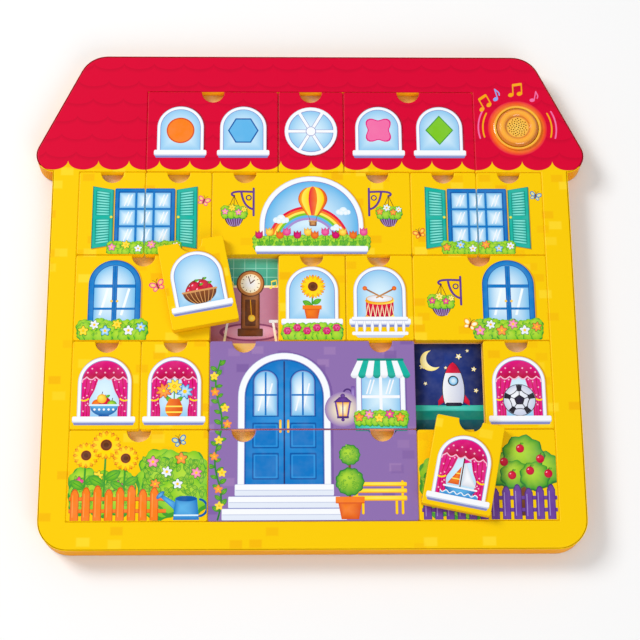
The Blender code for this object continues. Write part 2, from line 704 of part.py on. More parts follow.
def make_speaker():
    """The carrier with its stem, and the small speaker that the cap holds over it."""
    carrier = disc("speaker_carrier", CARRIER_R, CARRIER_T, SOUND_X, SOUND_Y, CARRIER_Z, INNER_SIDES)
    stem_h = STEM_L + CARRIER_T / 2
    stem = disc("carrier_stem", STEM_R, stem_h, SOUND_X, SOUND_Y, CARRIER_Z - STEM_L, SCREW_SIDES)
    add_boolean(carrier, as_cutter(stem), "UNION")
    add_piece(carrier, "module_plastic", "button")

    magnet_z = CARRIER_Z + CARRIER_T + GLUE_GAP
    magnet = disc("speaker_magnet", MAGNET_R, MAGNET_T, SOUND_X, SOUND_Y, magnet_z, INNER_SIDES)
    add_piece(magnet, "steel", "button")

    foot = magnet_z + MAGNET_T + GLUE_GAP
    top = GRILLE_Z - GLUE_GAP
    flange_in = CARRIER_R - BASKET_FLANGE_W
    profile = [
        (BASKET_HOLE_R, foot),
        (MAGNET_R + BASKET_T, foot),
        (flange_in, top - BASKET_T),
        (CARRIER_R, top - BASKET_T),
        (CARRIER_R, top),
        (flange_in - BASKET_T, top),
        (MAGNET_R, foot + BASKET_T),
        (BASKET_HOLE_R, foot + BASKET_T),
    ]
    basket = turned("speaker_frame", profile, SOUND_X, SOUND_Y, INNER_SIDES, closed=True)
    add_piece(basket, "black_plastic", "button")

    rim_r = flange_in - BASKET_T - GLUE_GAP - 1.5 * CONE_T
    low = top - CONE_DROP
    cone = [
        (0, low + CONE_DOME_H - CONE_T),
        (CONE_DOME_R, low - CONE_T),
        (rim_r, top - CONE_T),
        (rim_r, top),
        (rim_r - CONE_T, top),
        (CONE_DOME_R, low),
        (CONE_DOME_R / 2, low + CONE_DOME_H * 3 / 4),
        (0, low + CONE_DOME_H),
    ]
    add_piece(turned("speaker_cone", cone, SOUND_X, SOUND_Y, INNER_SIDES), "paper_cone", "button")


def make_spring():
    """The conical return spring, from the shelf to the carrier, and the least gap to itself."""
    low = SHELF_TOP_Z + GLUE_GAP + SPRING_WIRE_R
    high = CARRIER_Z - GLUE_GAP - SPRING_WIRE_R
    count = SPRING_TURNS * SPRING_POINTS_PER_TURN
    points = []
    for step in range(count + 1):
        share = step / count
        radius = SPRING_WIDE_R + (SPRING_NARROW_R - SPRING_WIDE_R) * share
        angle = 2 * math.pi * SPRING_TURNS * share
        points.append((radius * math.cos(angle), radius * math.sin(angle), low + (high - low) * share))
    least = min(
        math.dist(a, b)
        for i, a in enumerate(points)
        for b in points[i + SPRING_POINTS_PER_TURN // 2 :]
    )
    print(f"return_spring: least gap to itself {(least - 2 * SPRING_WIRE_R) / MM:.2f} mm")
    spring = tube("return_spring", points, SPRING_WIRE_R, 1)
    spring.location = (SOUND_X, SOUND_Y, 0)
    add_piece(spring, "steel")


def screw_profile(head_z, head_h, shank_l):
    """A pan head with a driver recess, and its plain shank, from the head's underside up."""
    recess_r = SCREW_HEAD_R / 3
    return [
        (0, head_z + SCREW_RECESS_H),
        (recess_r, head_z + SCREW_RECESS_H),
        (recess_r, head_z),
        (SCREW_HEAD_R, head_z),
        (SCREW_HEAD_R, head_z + head_h),
        (SCREW_SHANK_R, head_z + head_h),
        (SCREW_SHANK_R, head_z + head_h + shank_l - SCREW_SHANK_R / 2),
        (0, head_z + head_h + shank_l),
    ]


def make_circuit():
    """Circuit board, chip and push switch, and the two screws that hold the board to its bosses."""
    board_r = HOUSING_R - HOUSING_WALL - HOLE_GAP
    board = disc("circuit_board", board_r, PCB_T, SOUND_X, SOUND_Y, PCB_Z, INNER_SIDES)
    for side, name in ((-1, "left"), (1, "right")):
        x = SOUND_X + side * PCB_SCREW_OUT
        hole = disc(
            f"pcb_hole_{name}",
            SCREW_SHANK_R + HOLE_GAP,
            PCB_T + 2 * OVERRUN,
            x,
            SOUND_Y,
            PCB_Z - OVERRUN,
            SCREW_SIDES,
        )
        add_boolean(board, as_cutter(hole))
        head_z = PCB_Z - GLUE_GAP - SCREW_HEAD_H
        screw = turned(
            f"pcb_screw_{name}", screw_profile(head_z, SCREW_HEAD_H, PCB_SCREW_L), x, SOUND_Y, SCREW_SIDES
        )
        add_piece(screw, "steel")
    add_piece(board, "circuit")

    chip = block("sound_chip", CHIP_L, CHIP_W, CHIP_H, SOUND_X, SOUND_Y - CHIP_DOWN, SWITCH_Z)
    add_piece(chip, "black_plastic")

    switch = block("switch_body", SWITCH_SIDE, SWITCH_SIDE, SWITCH_H, SOUND_X, SOUND_Y, SWITCH_Z)
    add_bevel(switch, SWITCH_ROUND, 1)
    plunger_z = SWITCH_Z + SWITCH_H - PLUNGER_IN
    bore_z = plunger_z - PRESS_TRAVEL - GLUE_GAP
    bore = disc(
        "switch_bore",
        PLUNGER_R + HOLE_GAP,
        SWITCH_Z + SWITCH_H + OVERRUN - bore_z,
        SOUND_X,
        SOUND_Y,
        bore_z,
        SCREW_SIDES,
    )
    add_boolean(switch, as_cutter(bore))
    add_piece(switch, "black_plastic")
    plunger_h = CARRIER_Z - STEM_L - PLUNGER_GAP - plunger_z
    plunger = disc("switch_plunger", PLUNGER_R, plunger_h, SOUND_X, SOUND_Y, plunger_z, SCREW_SIDES)
    add_piece(plunger, "module_plastic", "button")


def cell_place(number):
    """The middle of a cell, counted from the bay's left end."""
    first = BAY_X - BAY_L / 2 + CELL_WALL_SPACE + CELL_R
    return first + number * (2 * CELL_R + CELL_SPACE)


def make_power():
    """Three button cells in a row, the leaves that join them in series, and the door under them."""
    for number in range(CELLS):
        name, x = f"battery_cell_{number + 1}", cell_place(number)
        cell = disc(name, CELL_R, CELL_H, x, BAY_Y, CELL_Z, CELL_SIDES)
        add_bevel(cell, CELL_ROUND, 1)
        add_piece(cell, "steel")

    reach = CELL_R - LEAF_INSET
    left, right = cell_place(0) - reach, cell_place(1) + reach
    top_link = block("contact_link_top", right - left, LEAF_W, LEAF_T, (left + right) / 2, BAY_Y, TOP_LEAF_Z)
    add_piece(top_link, "brass")
    left, right = cell_place(1) - reach, cell_place(2) + reach
    middle = (left + right) / 2
    door_link = block("contact_link_door", right - left, LEAF_W, LEAF_T, middle, BAY_Y, DOOR_LEAF_Z)
    add_piece(door_link, "brass", "battery_door")
    left, right = cell_place(2) - reach, cell_place(2) + CELL_R + LEAF_TAIL
    plus = block("contact_plus", right - left, LEAF_W, LEAF_T, (left + right) / 2, BAY_Y, TOP_LEAF_Z)
    add_piece(plus, "brass")

    left = BAY_X - BAY_L / 2 + GLUE_GAP
    upright_h = TOP_LEAF_Z - DOOR_LEAF_Z
    minus = block("contact_minus", LEAF_T, LEAF_W, upright_h, left + LEAF_T / 2, BAY_Y, DOOR_LEAF_Z)
    tongue = block("minus_tongue", LEAF_TONGUE, LEAF_W, LEAF_T, left + LEAF_TONGUE / 2, BAY_Y, DOOR_LEAF_Z)
    add_boolean(minus, as_cutter(tongue), "UNION")
    add_piece(minus, "brass")


def make_door():
    """The battery door, flush in its hatch, with its captive screw."""
    outline = rounded_rectangle(HATCH_L - 2 * GLUE_GAP, HATCH_W - 2 * GLUE_GAP, HATCH_CORNER_R - GLUE_GAP)
    door = plate("battery_door", [outline], DOOR_T)
    door.location = (BAY_X, BAY_Y, DOOR_SETBACK)
    x, y = DOOR_SCREW_X, DOOR_SCREW_Y
    hole = disc(
        "door_hole", SCREW_SHANK_R + HOLE_GAP, DOOR_T + 2 * OVERRUN, x, y, DOOR_SETBACK - OVERRUN, SCREW_SIDES
    )
    recess_h = DOOR_SCREW_HEAD_H + DOOR_SCREW_REST
    recess = disc(
        "door_recess",
        SCREW_HEAD_R + HOLE_GAP,
        recess_h + OVERRUN,
        x,
        y,
        DOOR_SETBACK - OVERRUN,
        SCREW_SIDES,
    )
    add_boolean(door, as_cutter(hole))
    add_boolean(door, as_cutter(recess))
    add_piece(door, "module_plastic", "battery_door")
    profile = screw_profile(DOOR_SETBACK, DOOR_SCREW_HEAD_H, DOOR_SCREW_L)
    add_piece(turned("battery_door_screw", profile, x, y, SCREW_SIDES), "steel", "battery_door")


def make_wires():
    """Two wires from the cells to the circuit board, and two from it up to the speaker's carrier."""
    neck_x, over_board = SOUND_X, PCB_TOP_Z + GLUE_GAP + WIRE_R
    plus_end = cell_place(2) + CELL_R + LEAF_TAIL
    red = [
        (plus_end + GLUE_GAP, BAY_Y, TOP_LEAF_Z - WIRE_R),
        (plus_end + 4 * WIRE_R, BAY_Y - WIRE_R, TOP_LEAF_Z - 2 * WIRE_R),
        (neck_x + NECK_W / 3, BAY_Y - CELL_R, SHELF_Z - 2 * WIRE_R),
        (neck_x + NECK_W / 4, BAY_Y - BAY_W / 2 - HOUSING_WALL, over_board),
        (neck_x + NECK_W / 5, SOUND_Y + PCB_SCREW_OUT, over_board),
        (neck_x + NECK_W / 5, SOUND_Y + CHIP_DOWN, over_board),
    ]
    add_piece(tube("battery_wire_red", smooth_route(red, 4), WIRE_R, WIRE_RESOLUTION), "wire_red")

    wall_x, wall_y = BAY_X - BAY_L / 2, BAY_Y - BAY_W / 2
    along = wall_y + GLUE_GAP + WIRE_R
    black = [
        (wall_x + GLUE_GAP + 1.5 * WIRE_R, BAY_Y - LEAF_W / 2 - GLUE_GAP, over_board),
        (wall_x + GLUE_GAP + 1.5 * WIRE_R, along + 2 * WIRE_R, over_board),
        (wall_x + 5 * WIRE_R, along, over_board),
        (cell_place(1), along, over_board),
        (cell_place(2), along, over_board),
        (neck_x - NECK_W / 3, along, over_board),
        (neck_x - NECK_W / 4, wall_y - HOUSING_WALL, over_board),
        (neck_x - NECK_W / 4, SOUND_Y + PCB_SCREW_OUT, over_board),
        (neck_x - NECK_W / 4, SOUND_Y + CHIP_DOWN, over_board),
    ]
    add_piece(tube("battery_wire_black", smooth_route(black, 4), WIRE_R, WIRE_RESOLUTION), "wire_black")

    out = (SHELF_HOLE_R + SWITCH_SIDE / 2) / 2 + WIRE_R / 2
    for side, name, finish in ((-1, "left", "wire_black"), (1, "right", "wire_red")):
        x, low, high = SOUND_X + side * out, PCB_TOP_Z + GLUE_GAP, CARRIER_Z - GLUE_GAP
        sway = WIRE_R
        route = [
            (x, SOUND_Y, low),
            (x, SOUND_Y + sway, low + (high - low) / 3),
            (x, SOUND_Y - sway, low + (high - low) * 2 / 3),
            (x, SOUND_Y, high),
        ]
        add_piece(tube(f"speaker_wire_{name}", smooth_route(route, 4), WIRE_R, WIRE_RESOLUTION), finish)


def make_empties():
    """The house's origin, and an empty for each moving group of the sound module on its joint's axis."""
    made = {}
    places = {
        "board": ("house_origin", (0, -MIDDLE_Y, 0)),
        "button": ("button_axis", (0, -MIDDLE_Y, 0)),
        "battery_door": ("battery_door_axis", (0, -MIDDLE_Y, 0)),
    }
    for body, (name, place) in places.items():
        empty = bpy.data.objects.new(name, None)
        empty.location = place
        PARTS.objects.link(empty)
        made[body] = empty
    return made


clear_scene()
PARTS = collection_named("musical_house_puzzle")
CUTTERS = collection_named("cutters")
EMPTIES = make_empties()
make_boards()
make_tiles()
make_housing()
make_collar()
make_cap()
make_speaker()
make_spring()
make_circuit()
make_power()
make_door()
make_wires()
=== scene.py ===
import math

import bpy
import numpy as np
from bpy.props import FloatProperty, FloatVectorProperty, PointerProperty
from mathutils import Matrix, Vector


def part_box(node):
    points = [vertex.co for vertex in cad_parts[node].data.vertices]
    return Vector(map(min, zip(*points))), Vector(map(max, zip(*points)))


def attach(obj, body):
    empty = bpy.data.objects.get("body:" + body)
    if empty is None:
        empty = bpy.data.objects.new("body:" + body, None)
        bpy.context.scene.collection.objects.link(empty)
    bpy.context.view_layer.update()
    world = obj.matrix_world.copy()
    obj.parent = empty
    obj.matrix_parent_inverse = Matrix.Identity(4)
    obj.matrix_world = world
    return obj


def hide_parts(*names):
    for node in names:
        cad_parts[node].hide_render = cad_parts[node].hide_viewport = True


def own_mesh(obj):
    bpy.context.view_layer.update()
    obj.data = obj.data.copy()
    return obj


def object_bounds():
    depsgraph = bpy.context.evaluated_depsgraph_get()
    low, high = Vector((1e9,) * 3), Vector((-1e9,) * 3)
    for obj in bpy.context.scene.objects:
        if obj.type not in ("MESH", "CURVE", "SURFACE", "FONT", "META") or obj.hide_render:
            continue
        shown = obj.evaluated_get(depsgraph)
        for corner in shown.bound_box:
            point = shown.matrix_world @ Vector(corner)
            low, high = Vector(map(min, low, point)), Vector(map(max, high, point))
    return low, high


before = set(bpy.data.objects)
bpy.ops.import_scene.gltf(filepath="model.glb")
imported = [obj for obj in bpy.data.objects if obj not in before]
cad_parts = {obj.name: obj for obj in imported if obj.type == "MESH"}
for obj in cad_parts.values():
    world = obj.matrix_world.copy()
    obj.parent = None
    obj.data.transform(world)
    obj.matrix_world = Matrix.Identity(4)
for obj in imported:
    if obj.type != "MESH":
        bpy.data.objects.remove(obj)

bl_info = {
    "name": "Musical House Puzzle",
    "version": (1, 0, 0),
    "blender": (4, 5, 0),
    "location": "View3D > Sidebar > House Puzzle",
    "description": "Finishes and prints of a house puzzle with lift-out tiles and a sound button",
    "category": "Object",
}

# Prints are drawn in millimetres from the eaves: X = 0 in the middle of the house, Y = 0 where the
# roof row meets the first wall row. Cells are 46 mm wide and 61.55 mm high.
MM = 0.001
UNIT, ROW = 46.0, 61.55
CAD_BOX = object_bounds()
EAVES = (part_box("tile_roof_left")[0][1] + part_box("tile_upper_1")[1][1]) / 2 / MM
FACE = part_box("front_frame")[1][2] / MM
LOOSE_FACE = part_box("tile_middle_2")[1][2] / MM
FLOOR_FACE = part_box("picture_board")[1][2] / MM
SOUND = tuple((low + high) / 2 / MM for low, high in zip(*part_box("button_cap")))[:2]
SOUND = (SOUND[0], SOUND[1] - EAVES)

# Each tile's cell: row from the eaves, then the left and right ends in cells from the middle
CELLS = {
    "roof_left": (-1, -2.5, -0.5), "roof_centre": (-1, -0.5, 0.5), "roof_right": (-1, 0.5, 2.5),
    "upper_1": (0, -3.5, -2.5), "upper_2": (0, -2.5, -1.5), "upper_3": (0, -1.5, 1.5),
    "upper_4": (0, 1.5, 2.5), "upper_5": (0, 2.5, 3.5),
    "middle_1": (1, -3.5, -1.5), "middle_2": (1, -1.5, -0.5), "middle_3": (1, -0.5, 0.5),
    "middle_4": (1, 0.5, 1.5), "middle_5": (1, 1.5, 3.5),
    "lower_1": (2, -3.5, -2.5), "lower_2": (2, -2.5, -1.5), "lower_3": (2, -1.5, 1.5),
    "lower_4": (2, 1.5, 2.5), "lower_5": (2, 2.5, 3.5),
    "ground_left": (3, -3.5, -1.5), "ground_door": (3, -1.5, 1.5), "ground_right": (3, 1.5, 3.5),
}
# The two tiles that are out: the shares of a cell that they moved by, and their turn in degrees
LOOSE = {"middle_2": (-0.6804, 0.1381, 11.0), "lower_4": (0.1413, -0.9163, -11.5)}

# The spring's turns, widest and narrowest coil and wire, and the leads' wire, as radii
SPRING_TURNS, SPRING_WIDE, SPRING_NARROW, SPRING_WIRE, LEAD_WIRE = 3, 12.2, 7.5, 0.35, 0.45

# A finger notch's radius, the longest step of a print's grid where it is cut, and twice the area under
# which one of its triangles is left out
NOTCH, CUT_REACH, LEAST_AREA = 8.6, 1.1, 2e-4
# Where the painted seam glow lies, as shares of a cell from its middle: of its width, and of its height
SEAM_ACROSS, SEAM_ALONG = 0.489, 0.4915

INKS = {
    "white": "f5f7fb", "cloud": "e2e9f5", "shade": "c3cbe3", "lilac": "8087c4", "glass": "8fc8ee",
    "pane": "d9f0fb", "sky": "5fb4e8", "blue": "0f76c4", "deep": "0a5aa6", "navy": "1b2f6e",
    "teal": "16b3a0", "sea": "0a8578", "leaf": "7cc623", "green": "3f9b2f", "moss": "2d7a33",
    "lime": "b4dc3a", "yellow": "ffd800", "sun": "ffe75a", "gold": "f6a80c", "orange": "f77f1c",
    "rust": "d9541a", "brown": "8a4b22", "umber": "5f3218", "tan": "d79a5b", "cream": "fff0c4",
    "red": "e4123c", "crimson": "b30a34", "magenta": "e0147f", "pink": "f26fa8", "blush": "f9b7cf",
    "purple": "6b3f9c", "plum": "4a2675", "violet": "a78fd0", "ink": "2a2440", "black": "23202b",
    "stone": "d8dbe4",
}
# What a flower's petals pale to at its middle
PALER = {"pink": "blush", "magenta": "pink", "orange": "ffb057", "yellow": "sun", "sky": "pane",
         "sun": "fff3a6", "white": "cloud"}
BLACK = (0.0, 0.0, 0.0)


def linear(name):
    """An ink's name or six-digit display value as a scene-linear colour."""
    text = INKS.get(name, name)
    shown = np.array([int(text[i:i + 2], 16) for i in (0, 2, 4)]) / 255
    return np.where(shown > 0.04045, ((shown + 0.055) / 1.055) ** 2.4, shown / 12.92)


def rgba(name):
    """The same with full cover, for a ramp."""
    return (*(float(c) for c in linear(name)), 1.0)


def length(name, description, value):
    """A setting in metres."""
    return FloatProperty(name=name, description=description, default=value, unit="LENGTH", precision=6)


def number(name, description, value):
    """A plain setting, zero or more."""
    return FloatProperty(name=name, description=description, default=value, min=0.0)


def colour(name, description, value):
    """A colour setting, given as a display value."""
    return FloatVectorProperty(name=name, description=description, default=rgba(value)[:3], size=3,
                               subtype="COLOR", min=0.0, max=1.0)


class HousePrintSettings(bpy.types.PropertyGroup):
    """Sizes and colours of what is printed on the boards and tiles."""

    layer_step: length("Layer step", "Height of one printed shape over the one under it", 0.000004)
    print_margin: length("Print margin", "From a tile's cell to where its printed shapes end", 0.00065)
    scallop_pitch: length("Scallop pitch", "Width of one scallop of the eaves", 0.02115)
    scallop_top: length("Scallop top", "Height of the points between the scallops", 0.0087)
    scallop_depth: length("Scallop depth", "From those points down to a scallop's lowest point", 0.0072)
    shingle_rise: length("Shingle rise", "Height of one row of shingles", 0.0136)
    wall_yellow: colour("Wall yellow", "Printed wall", "f8ca00")
    brick_ochre: colour("Brick ochre", "Marks on the printed wall", "f3b402")
    roof_red: colour("Roof red", "Printed roof", "d90033")
    shingle_red: colour("Shingle red", "Shade under the printed shingles", "b8002b")
    facade_purple: colour("Facade purple", "Printed front round the door", "8e6fae")
    edge_orange: colour("Edge orange", "Sides of the board", "f6a808")
    edge_gold: colour("Edge gold", "Sides of the tiles and of the openings", "eeb004")
    fibre_brown: colour("Fibre brown", "Bare back board", "9a7450")


class SoundButtonSettings(bpy.types.PropertyGroup):
    """Sizes and colours round the sound button."""

    halo_radius: length("Halo radius", "Printed disc that the button stands on", 0.021)
    cap_yellow: colour("Cap yellow", "Glossy cap", "fdb913")
    bezel_orange: colour("Bezel orange", "Ring round the cap", "f7941d")
    halo_orange: colour("Halo orange", "Printed disc under the button", "f4511e")


class StudioSettings(bpy.types.PropertyGroup):
    """The photograph's viewpoint, which is aimed near the board's middle, and its light."""

    distance: length("Distance", "From the camera to the board's middle", 1.105)
    focal: number("Focal length", "Of the camera, in millimetres on a 36 mm sensor", 91.8)
    tilt: number("Tilt", "How far the camera leans back from straight down, in degrees", 18.0)
    swing: number("Swing", "How far the camera stands round to the left, in degrees", 4.526)
    roll: number("Roll", "How far the picture is rolled, in degrees", 4.268)
    key_power: number("Key light", "Power of the large lamp at the upper left, in watts", 66.0)
    fill_power: number("Front light", "Power of the soft lamp in front of the board, in watts", 34.0)
    fill_level: number("Fill light", "Brightness of the even light from all round", 0.5)


class Value:
    """A socket of a finish, so that sums written with it become Math nodes."""

    def __init__(self, finish, socket):
        self.finish, self.socket = finish, socket

    def math(self, operation, *others):
        """This and the others through one Math node."""
        return self.finish.node("ShaderNodeMath", {"operation": operation}, self, *others)

    def __add__(self, other):
        return self.math("ADD", other)

    def __mul__(self, other):
        return self.math("MULTIPLY", other)

    def __sub__(self, other):
        return self.math("SUBTRACT", other)

    def __truediv__(self, other):
        return self.math("DIVIDE", other)

    def __rsub__(self, other):
        return self.finish.node("ShaderNodeMath", {"operation": "SUBTRACT"}, other, self)

    __radd__ = __add__
    __rmul__ = __mul__

    def over(self, edge, soft=0.2):
        """1 where this is above the edge and 0 below it, over a soft step."""
        return self.finish.node("ShaderNodeMath", {"operation": "MULTIPLY_ADD", "use_clamp": True},
                                self - edge, 1 / soft, 0.5)


class Finish:
    """A material whose nodes are added by its methods, on a satin or glossy surface."""

    def __init__(self, name, base, roughness=0.4, metallic=0.0, coat=0.0):
        self.material = bpy.data.materials.new(name)
        self.material.use_nodes = True
        self.tree = self.material.node_tree
        self.shader = next(n for n in self.tree.nodes if n.type == "BSDF_PRINCIPLED")
        self.material.diffuse_color = (*base[:3], 1.0)
        self.give("Base Color", (*base[:3], 1.0))
        self.give("Roughness", roughness)
        self.give("Metallic", metallic)
        self.give("Coat Weight", coat)

    def give(self, socket, value):
        """Sets a socket of the surface, or links it to a value."""
        self.join(self.shader.inputs[socket], value)

    def join(self, socket, value):
        """Links a value to a socket, or sets the socket to a number or a colour."""
        if isinstance(value, Value):
            self.tree.links.new(value.socket, socket)
        elif value is not None:
            socket.default_value = value

    def node(self, kind, settings=None, *inputs, output=0, **named):
        """Adds a node of this kind; settings go first, then the values or links of its sockets."""
        made = self.tree.nodes.new(kind)
        for key, value in (settings or {}).items():
            if key == "stops":
                ramp = made.color_ramp.elements
                while len(ramp) < len(value):
                    ramp.new(0.5)
                for element, (place, ink) in zip(ramp, value):
                    element.position, element.color = place, ink
            else:
                setattr(made, key, value)
        for socket, value in zip(made.inputs, inputs):
            self.join(socket, value)
        for key, value in named.items():
            self.join(made.inputs[key], value)
        return Value(self, made.outputs[output])

    def mix(self, factor, first, second):
        """One colour into another."""
        made = self.tree.nodes.new("ShaderNodeMix")
        made.data_type = "RGBA"
        for socket, value in zip([made.inputs[0], *[s for s in made.inputs if s.type == "RGBA"]],
                                 (factor, first, second)):
            self.join(socket, value if isinstance(value, (Value, float, int)) else (*value[:3], 1.0))
        return Value(self, next(s for s in made.outputs if s.type == "RGBA"))

    def place(self, scale=1.0, location=(0, 0, 0), turn=0.0):
        """Object coordinates, scaled, then turned about Z, then moved."""
        coordinates = self.node("ShaderNodeTexCoord", None, output=3)
        scale = scale if isinstance(scale, tuple) else (scale,) * 3
        return self.node("ShaderNodeMapping", {"vector_type": "POINT"}, coordinates,
                         Location=location, Rotation=(0, 0, turn), Scale=scale)

    def parts(self, vector):
        """The three parts of a vector."""
        made = self.node("ShaderNodeSeparateXYZ", None, vector)
        return [Value(self, s) for s in made.socket.node.outputs]

    def noise(self, vector, scale, detail=2.0, roughness=0.5):
        """Noise over a vector."""
        return self.node("ShaderNodeTexNoise", None, Vector=vector, Scale=scale, Detail=detail,
                         Roughness=roughness)

    def grain(self, scale, detail=2.0, roughness=0.5):
        """Noise over the object's own coordinates, whose scale may differ by direction."""
        return self.noise(self.place(scale), 1.0, detail, roughness)

    def done(self, base, roughness, height, strength, distance):
        """Gives the surface its colour, roughness and relief, and returns the material."""
        self.give("Base Color", base)
        self.give("Roughness", roughness)
        self.give("Normal", self.node("ShaderNodeBump", None, Height=height, Strength=strength,
                                      Distance=distance))
        return self.material


def board_place(finish, name=None):
    """Millimetres from the eaves for a seated piece, or where a tile that is out was in its cell."""
    if name is None:
        return finish.place(1 / MM, (0, -EAVES, 0))
    seat, out, turn = seat_of(name)
    back = np.array([[math.cos(turn), math.sin(turn)], [-math.sin(turn), math.cos(turn)]])
    shift = seat - back @ (out + (0, EAVES))
    return finish.place(1 / MM, (float(shift[0]), float(shift[1]), FACE - LOOSE_FACE), -turn)


def seat_of(name):
    """A loose tile's middle in its cell and where it lies, in mm from the eaves, and its turn."""
    row, left, right = CELLS[name]
    across, up, turn = LOOSE[name]
    seat = np.array(((left + right) / 2 * UNIT, -(row + 0.5) * ROW))
    return seat, seat + (across * UNIT, up * ROW), math.radians(turn)


def brick_marks(finish, x, y, width, height, share):
    """Soft rectangles scattered one to a cell of a grid, in a share of the cells, each moved at random."""
    row = (y / height).math("FLOOR")
    along = x / width + row.math("PINGPONG", 1.0) * 0.5
    column = along.math("FLOOR")
    cell = finish.node("ShaderNodeCombineXYZ", None, column, row)
    random = finish.node("ShaderNodeTexWhiteNoise", {"noise_dimensions": "2D"}, cell, output=1)
    right, up, chance = finish.parts(random)
    across = ((along - column - 0.5) * width - (right - 0.5) * (width * 0.4)).math("ABSOLUTE")
    upward = ((y / height - row - 0.5) * height - (up - 0.5) * (height * 0.3)).math("ABSOLUTE")
    reach = (across - (width * 0.2)).math("MAXIMUM", upward - (height * 0.24))
    return (0.5 - reach).over(0.0, 1.0) * chance.over(1 - share, 0.01) * (0.45 + up * 0.55)


def window_ink(finish, x, y):
    """Where a seam crosses a shutter window, and the print's colour there: blue, or green in its bed."""
    top, foot, bed_top = -12.8, -60.2, -52.5
    aside = (x.math("ABSOLUTE") - 2.5 * UNIT).math("ABSOLUTE")
    crossed = (1.2 - aside).over(0.0, 0.1) * (y * -1).over(-top, 0.2) * y.over(foot, 0.2)
    return crossed, finish.mix(y.over(bed_top, 1.0), linear("6fbf2c"), linear("4a9fdc"))


def painted_seam_glow(finish, x, y, roof, facade, window):
    """Painted light in the seams: a glow of the print's colour, within 0.5 mm of the grid of cells.

    Seams along Y glow twice as much as those along X, and the walls of the two open cells don't glow.
    """
    column, row = x / UNIT + 0.5, y / ROW
    upright = (column - column.math("FLOOR") - 0.5).math("ABSOLUTE").over(SEAM_ACROSS, 0.003)
    level = (row - row.math("FLOOR") - 0.5).math("ABSOLUTE").over(SEAM_ALONG, 0.002)
    share = upright.math("MAXIMUM", level * 0.5)
    for name in LOOSE:
        middle = seat_of(name)[0]
        aside = (x - float(middle[0])).math("ABSOLUTE").over(UNIT * 0.55, 0.2)
        share = share * aside.math("MAXIMUM", (y - float(middle[1])).math("ABSOLUTE").over(ROW * 0.53, 0.2))
    ink = finish.mix(roof, (0.16, 0.2, 0.0), (0.08, 0.0, 0.006))
    ink = finish.mix(facade, ink, (0.08, 0.05, 0.18))
    crossed, printed = window
    ink = finish.mix(crossed, ink, finish.mix(0.4, BLACK, printed))
    return finish.mix(share, BLACK, ink)


def house_paper(name, tile=None):
    """Printed house front in one finish: roof, yellow wall and purple facade, with bare edges below.

    The eaves are half ellipses hung between points one pitch apart. A shingle's lower edge is the same
    arc, moved half a pitch in every other row, and the shade lies just under it.
    """
    settings = bpy.context.scene.house_print
    finish = Finish(name, tuple(settings.wall_yellow), 0.36)
    finish.give("Specular IOR Level", 0.1)
    at = board_place(finish, tile)
    x, y, z = finish.parts(at)
    pitch, rise = settings.scallop_pitch / MM, settings.shingle_rise / MM
    dip, shade_reach = 5.0, 3.4

    def arc(along):
        """Half an ellipse in each pitch: 1 in its middle and 0 at its ends."""
        from_middle = (along - along.math("FLOOR") - 0.5) * 2
        return (1 - from_middle * from_middle).math("MAXIMUM", 0.0).math("SQRT")

    eaves = settings.scallop_top / MM - arc(x / pitch) * (settings.scallop_depth / MM)
    roof = y.math("SUBTRACT", eaves).over(0.0, 0.25)
    shade = None
    for shift in (0, 1):  # this row's own lower edge, and that of the row above it
        row = (y / rise).math("FLOOR") + shift
        lower = row * rise - 1.6 - arc(x / pitch + row.math("PINGPONG", 1.0) * 0.5 + 0.25) * dip + 4.0
        under = (lower - y).math("MAXIMUM", 0.0)
        near = (1 - under / shade_reach).math("MAXIMUM", 0.0) * (lower - y).over(0.0, 0.5)
        shade = near if shade is None else shade.math("MAXIMUM", near)
    patches = finish.noise(at, 0.055, 2.0)
    red = finish.mix(shade * 0.5 + (patches - 0.5) * 0.25, settings.roof_red, settings.shingle_red)

    marks = brick_marks(finish, x, y, 17.5, 9.2, 0.24)
    tone = brick_marks(finish, x + 9.0, y + 5.0, 19.0, 10.0, 0.16)
    yellow = finish.mix(marks * 0.8, settings.wall_yellow, settings.brick_ochre)
    yellow = finish.mix(tone * 0.6, yellow, linear("ffe23a"))
    marks = brick_marks(finish, x + 3.0, y, 17.0, 9.0, 0.26)
    tone = brick_marks(finish, x + 11.0, y + 4.0, 18.0, 9.6, 0.24)
    purple = finish.mix(marks * 0.7, settings.facade_purple, linear("a583b8"))
    purple = finish.mix(tone * 0.8, purple, linear("7a5a9f"))
    side = (UNIT * 1.5 - x.math("ABSOLUTE")).over(0.0, 0.2)
    band = (y + 4 * ROW).over(0.0, 0.2) * (-2 * ROW - y).over(0.0, 0.2)
    front = finish.mix(side * band, finish.mix(roof, yellow, red), purple)
    window = window_ink(finish, x, y)
    front = finish.mix(window[0], front, window[1])

    fibres = finish.grain((500.0, 500.0, 4000.0), 3.0)
    edge = finish.mix(fibres * 0.3, settings.edge_gold, linear("e9a800"))
    # Painted shade: the sides darken from pale yellow to gold towards the floor of the recesses
    edge = finish.mix(z.over(FLOOR_FACE + 1.0, 3.0), edge, linear("fbc40a"))
    top = z.over(FACE - 0.8, 0.12)
    # Painted light: near the seams the sides under the print glow faintly in the print's colour, which lifts
    # the dark gaps between tiles
    if tile is None:
        glow = painted_seam_glow(finish, x, y, roof, side * band, window)
        finish.give("Emission Color", finish.mix(1 - top, BLACK, glow))
        finish.give("Emission Strength", 1.0)
    film = finish.grain(1800.0)
    rough = 0.31 + patches * 0.06 + film * 0.08 + (1 - top) * 0.14
    relief = film * top * 0.5 + fibres * (1 - top)
    return finish.done(finish.mix(top, edge, front), rough, relief, 0.12, 0.00006)


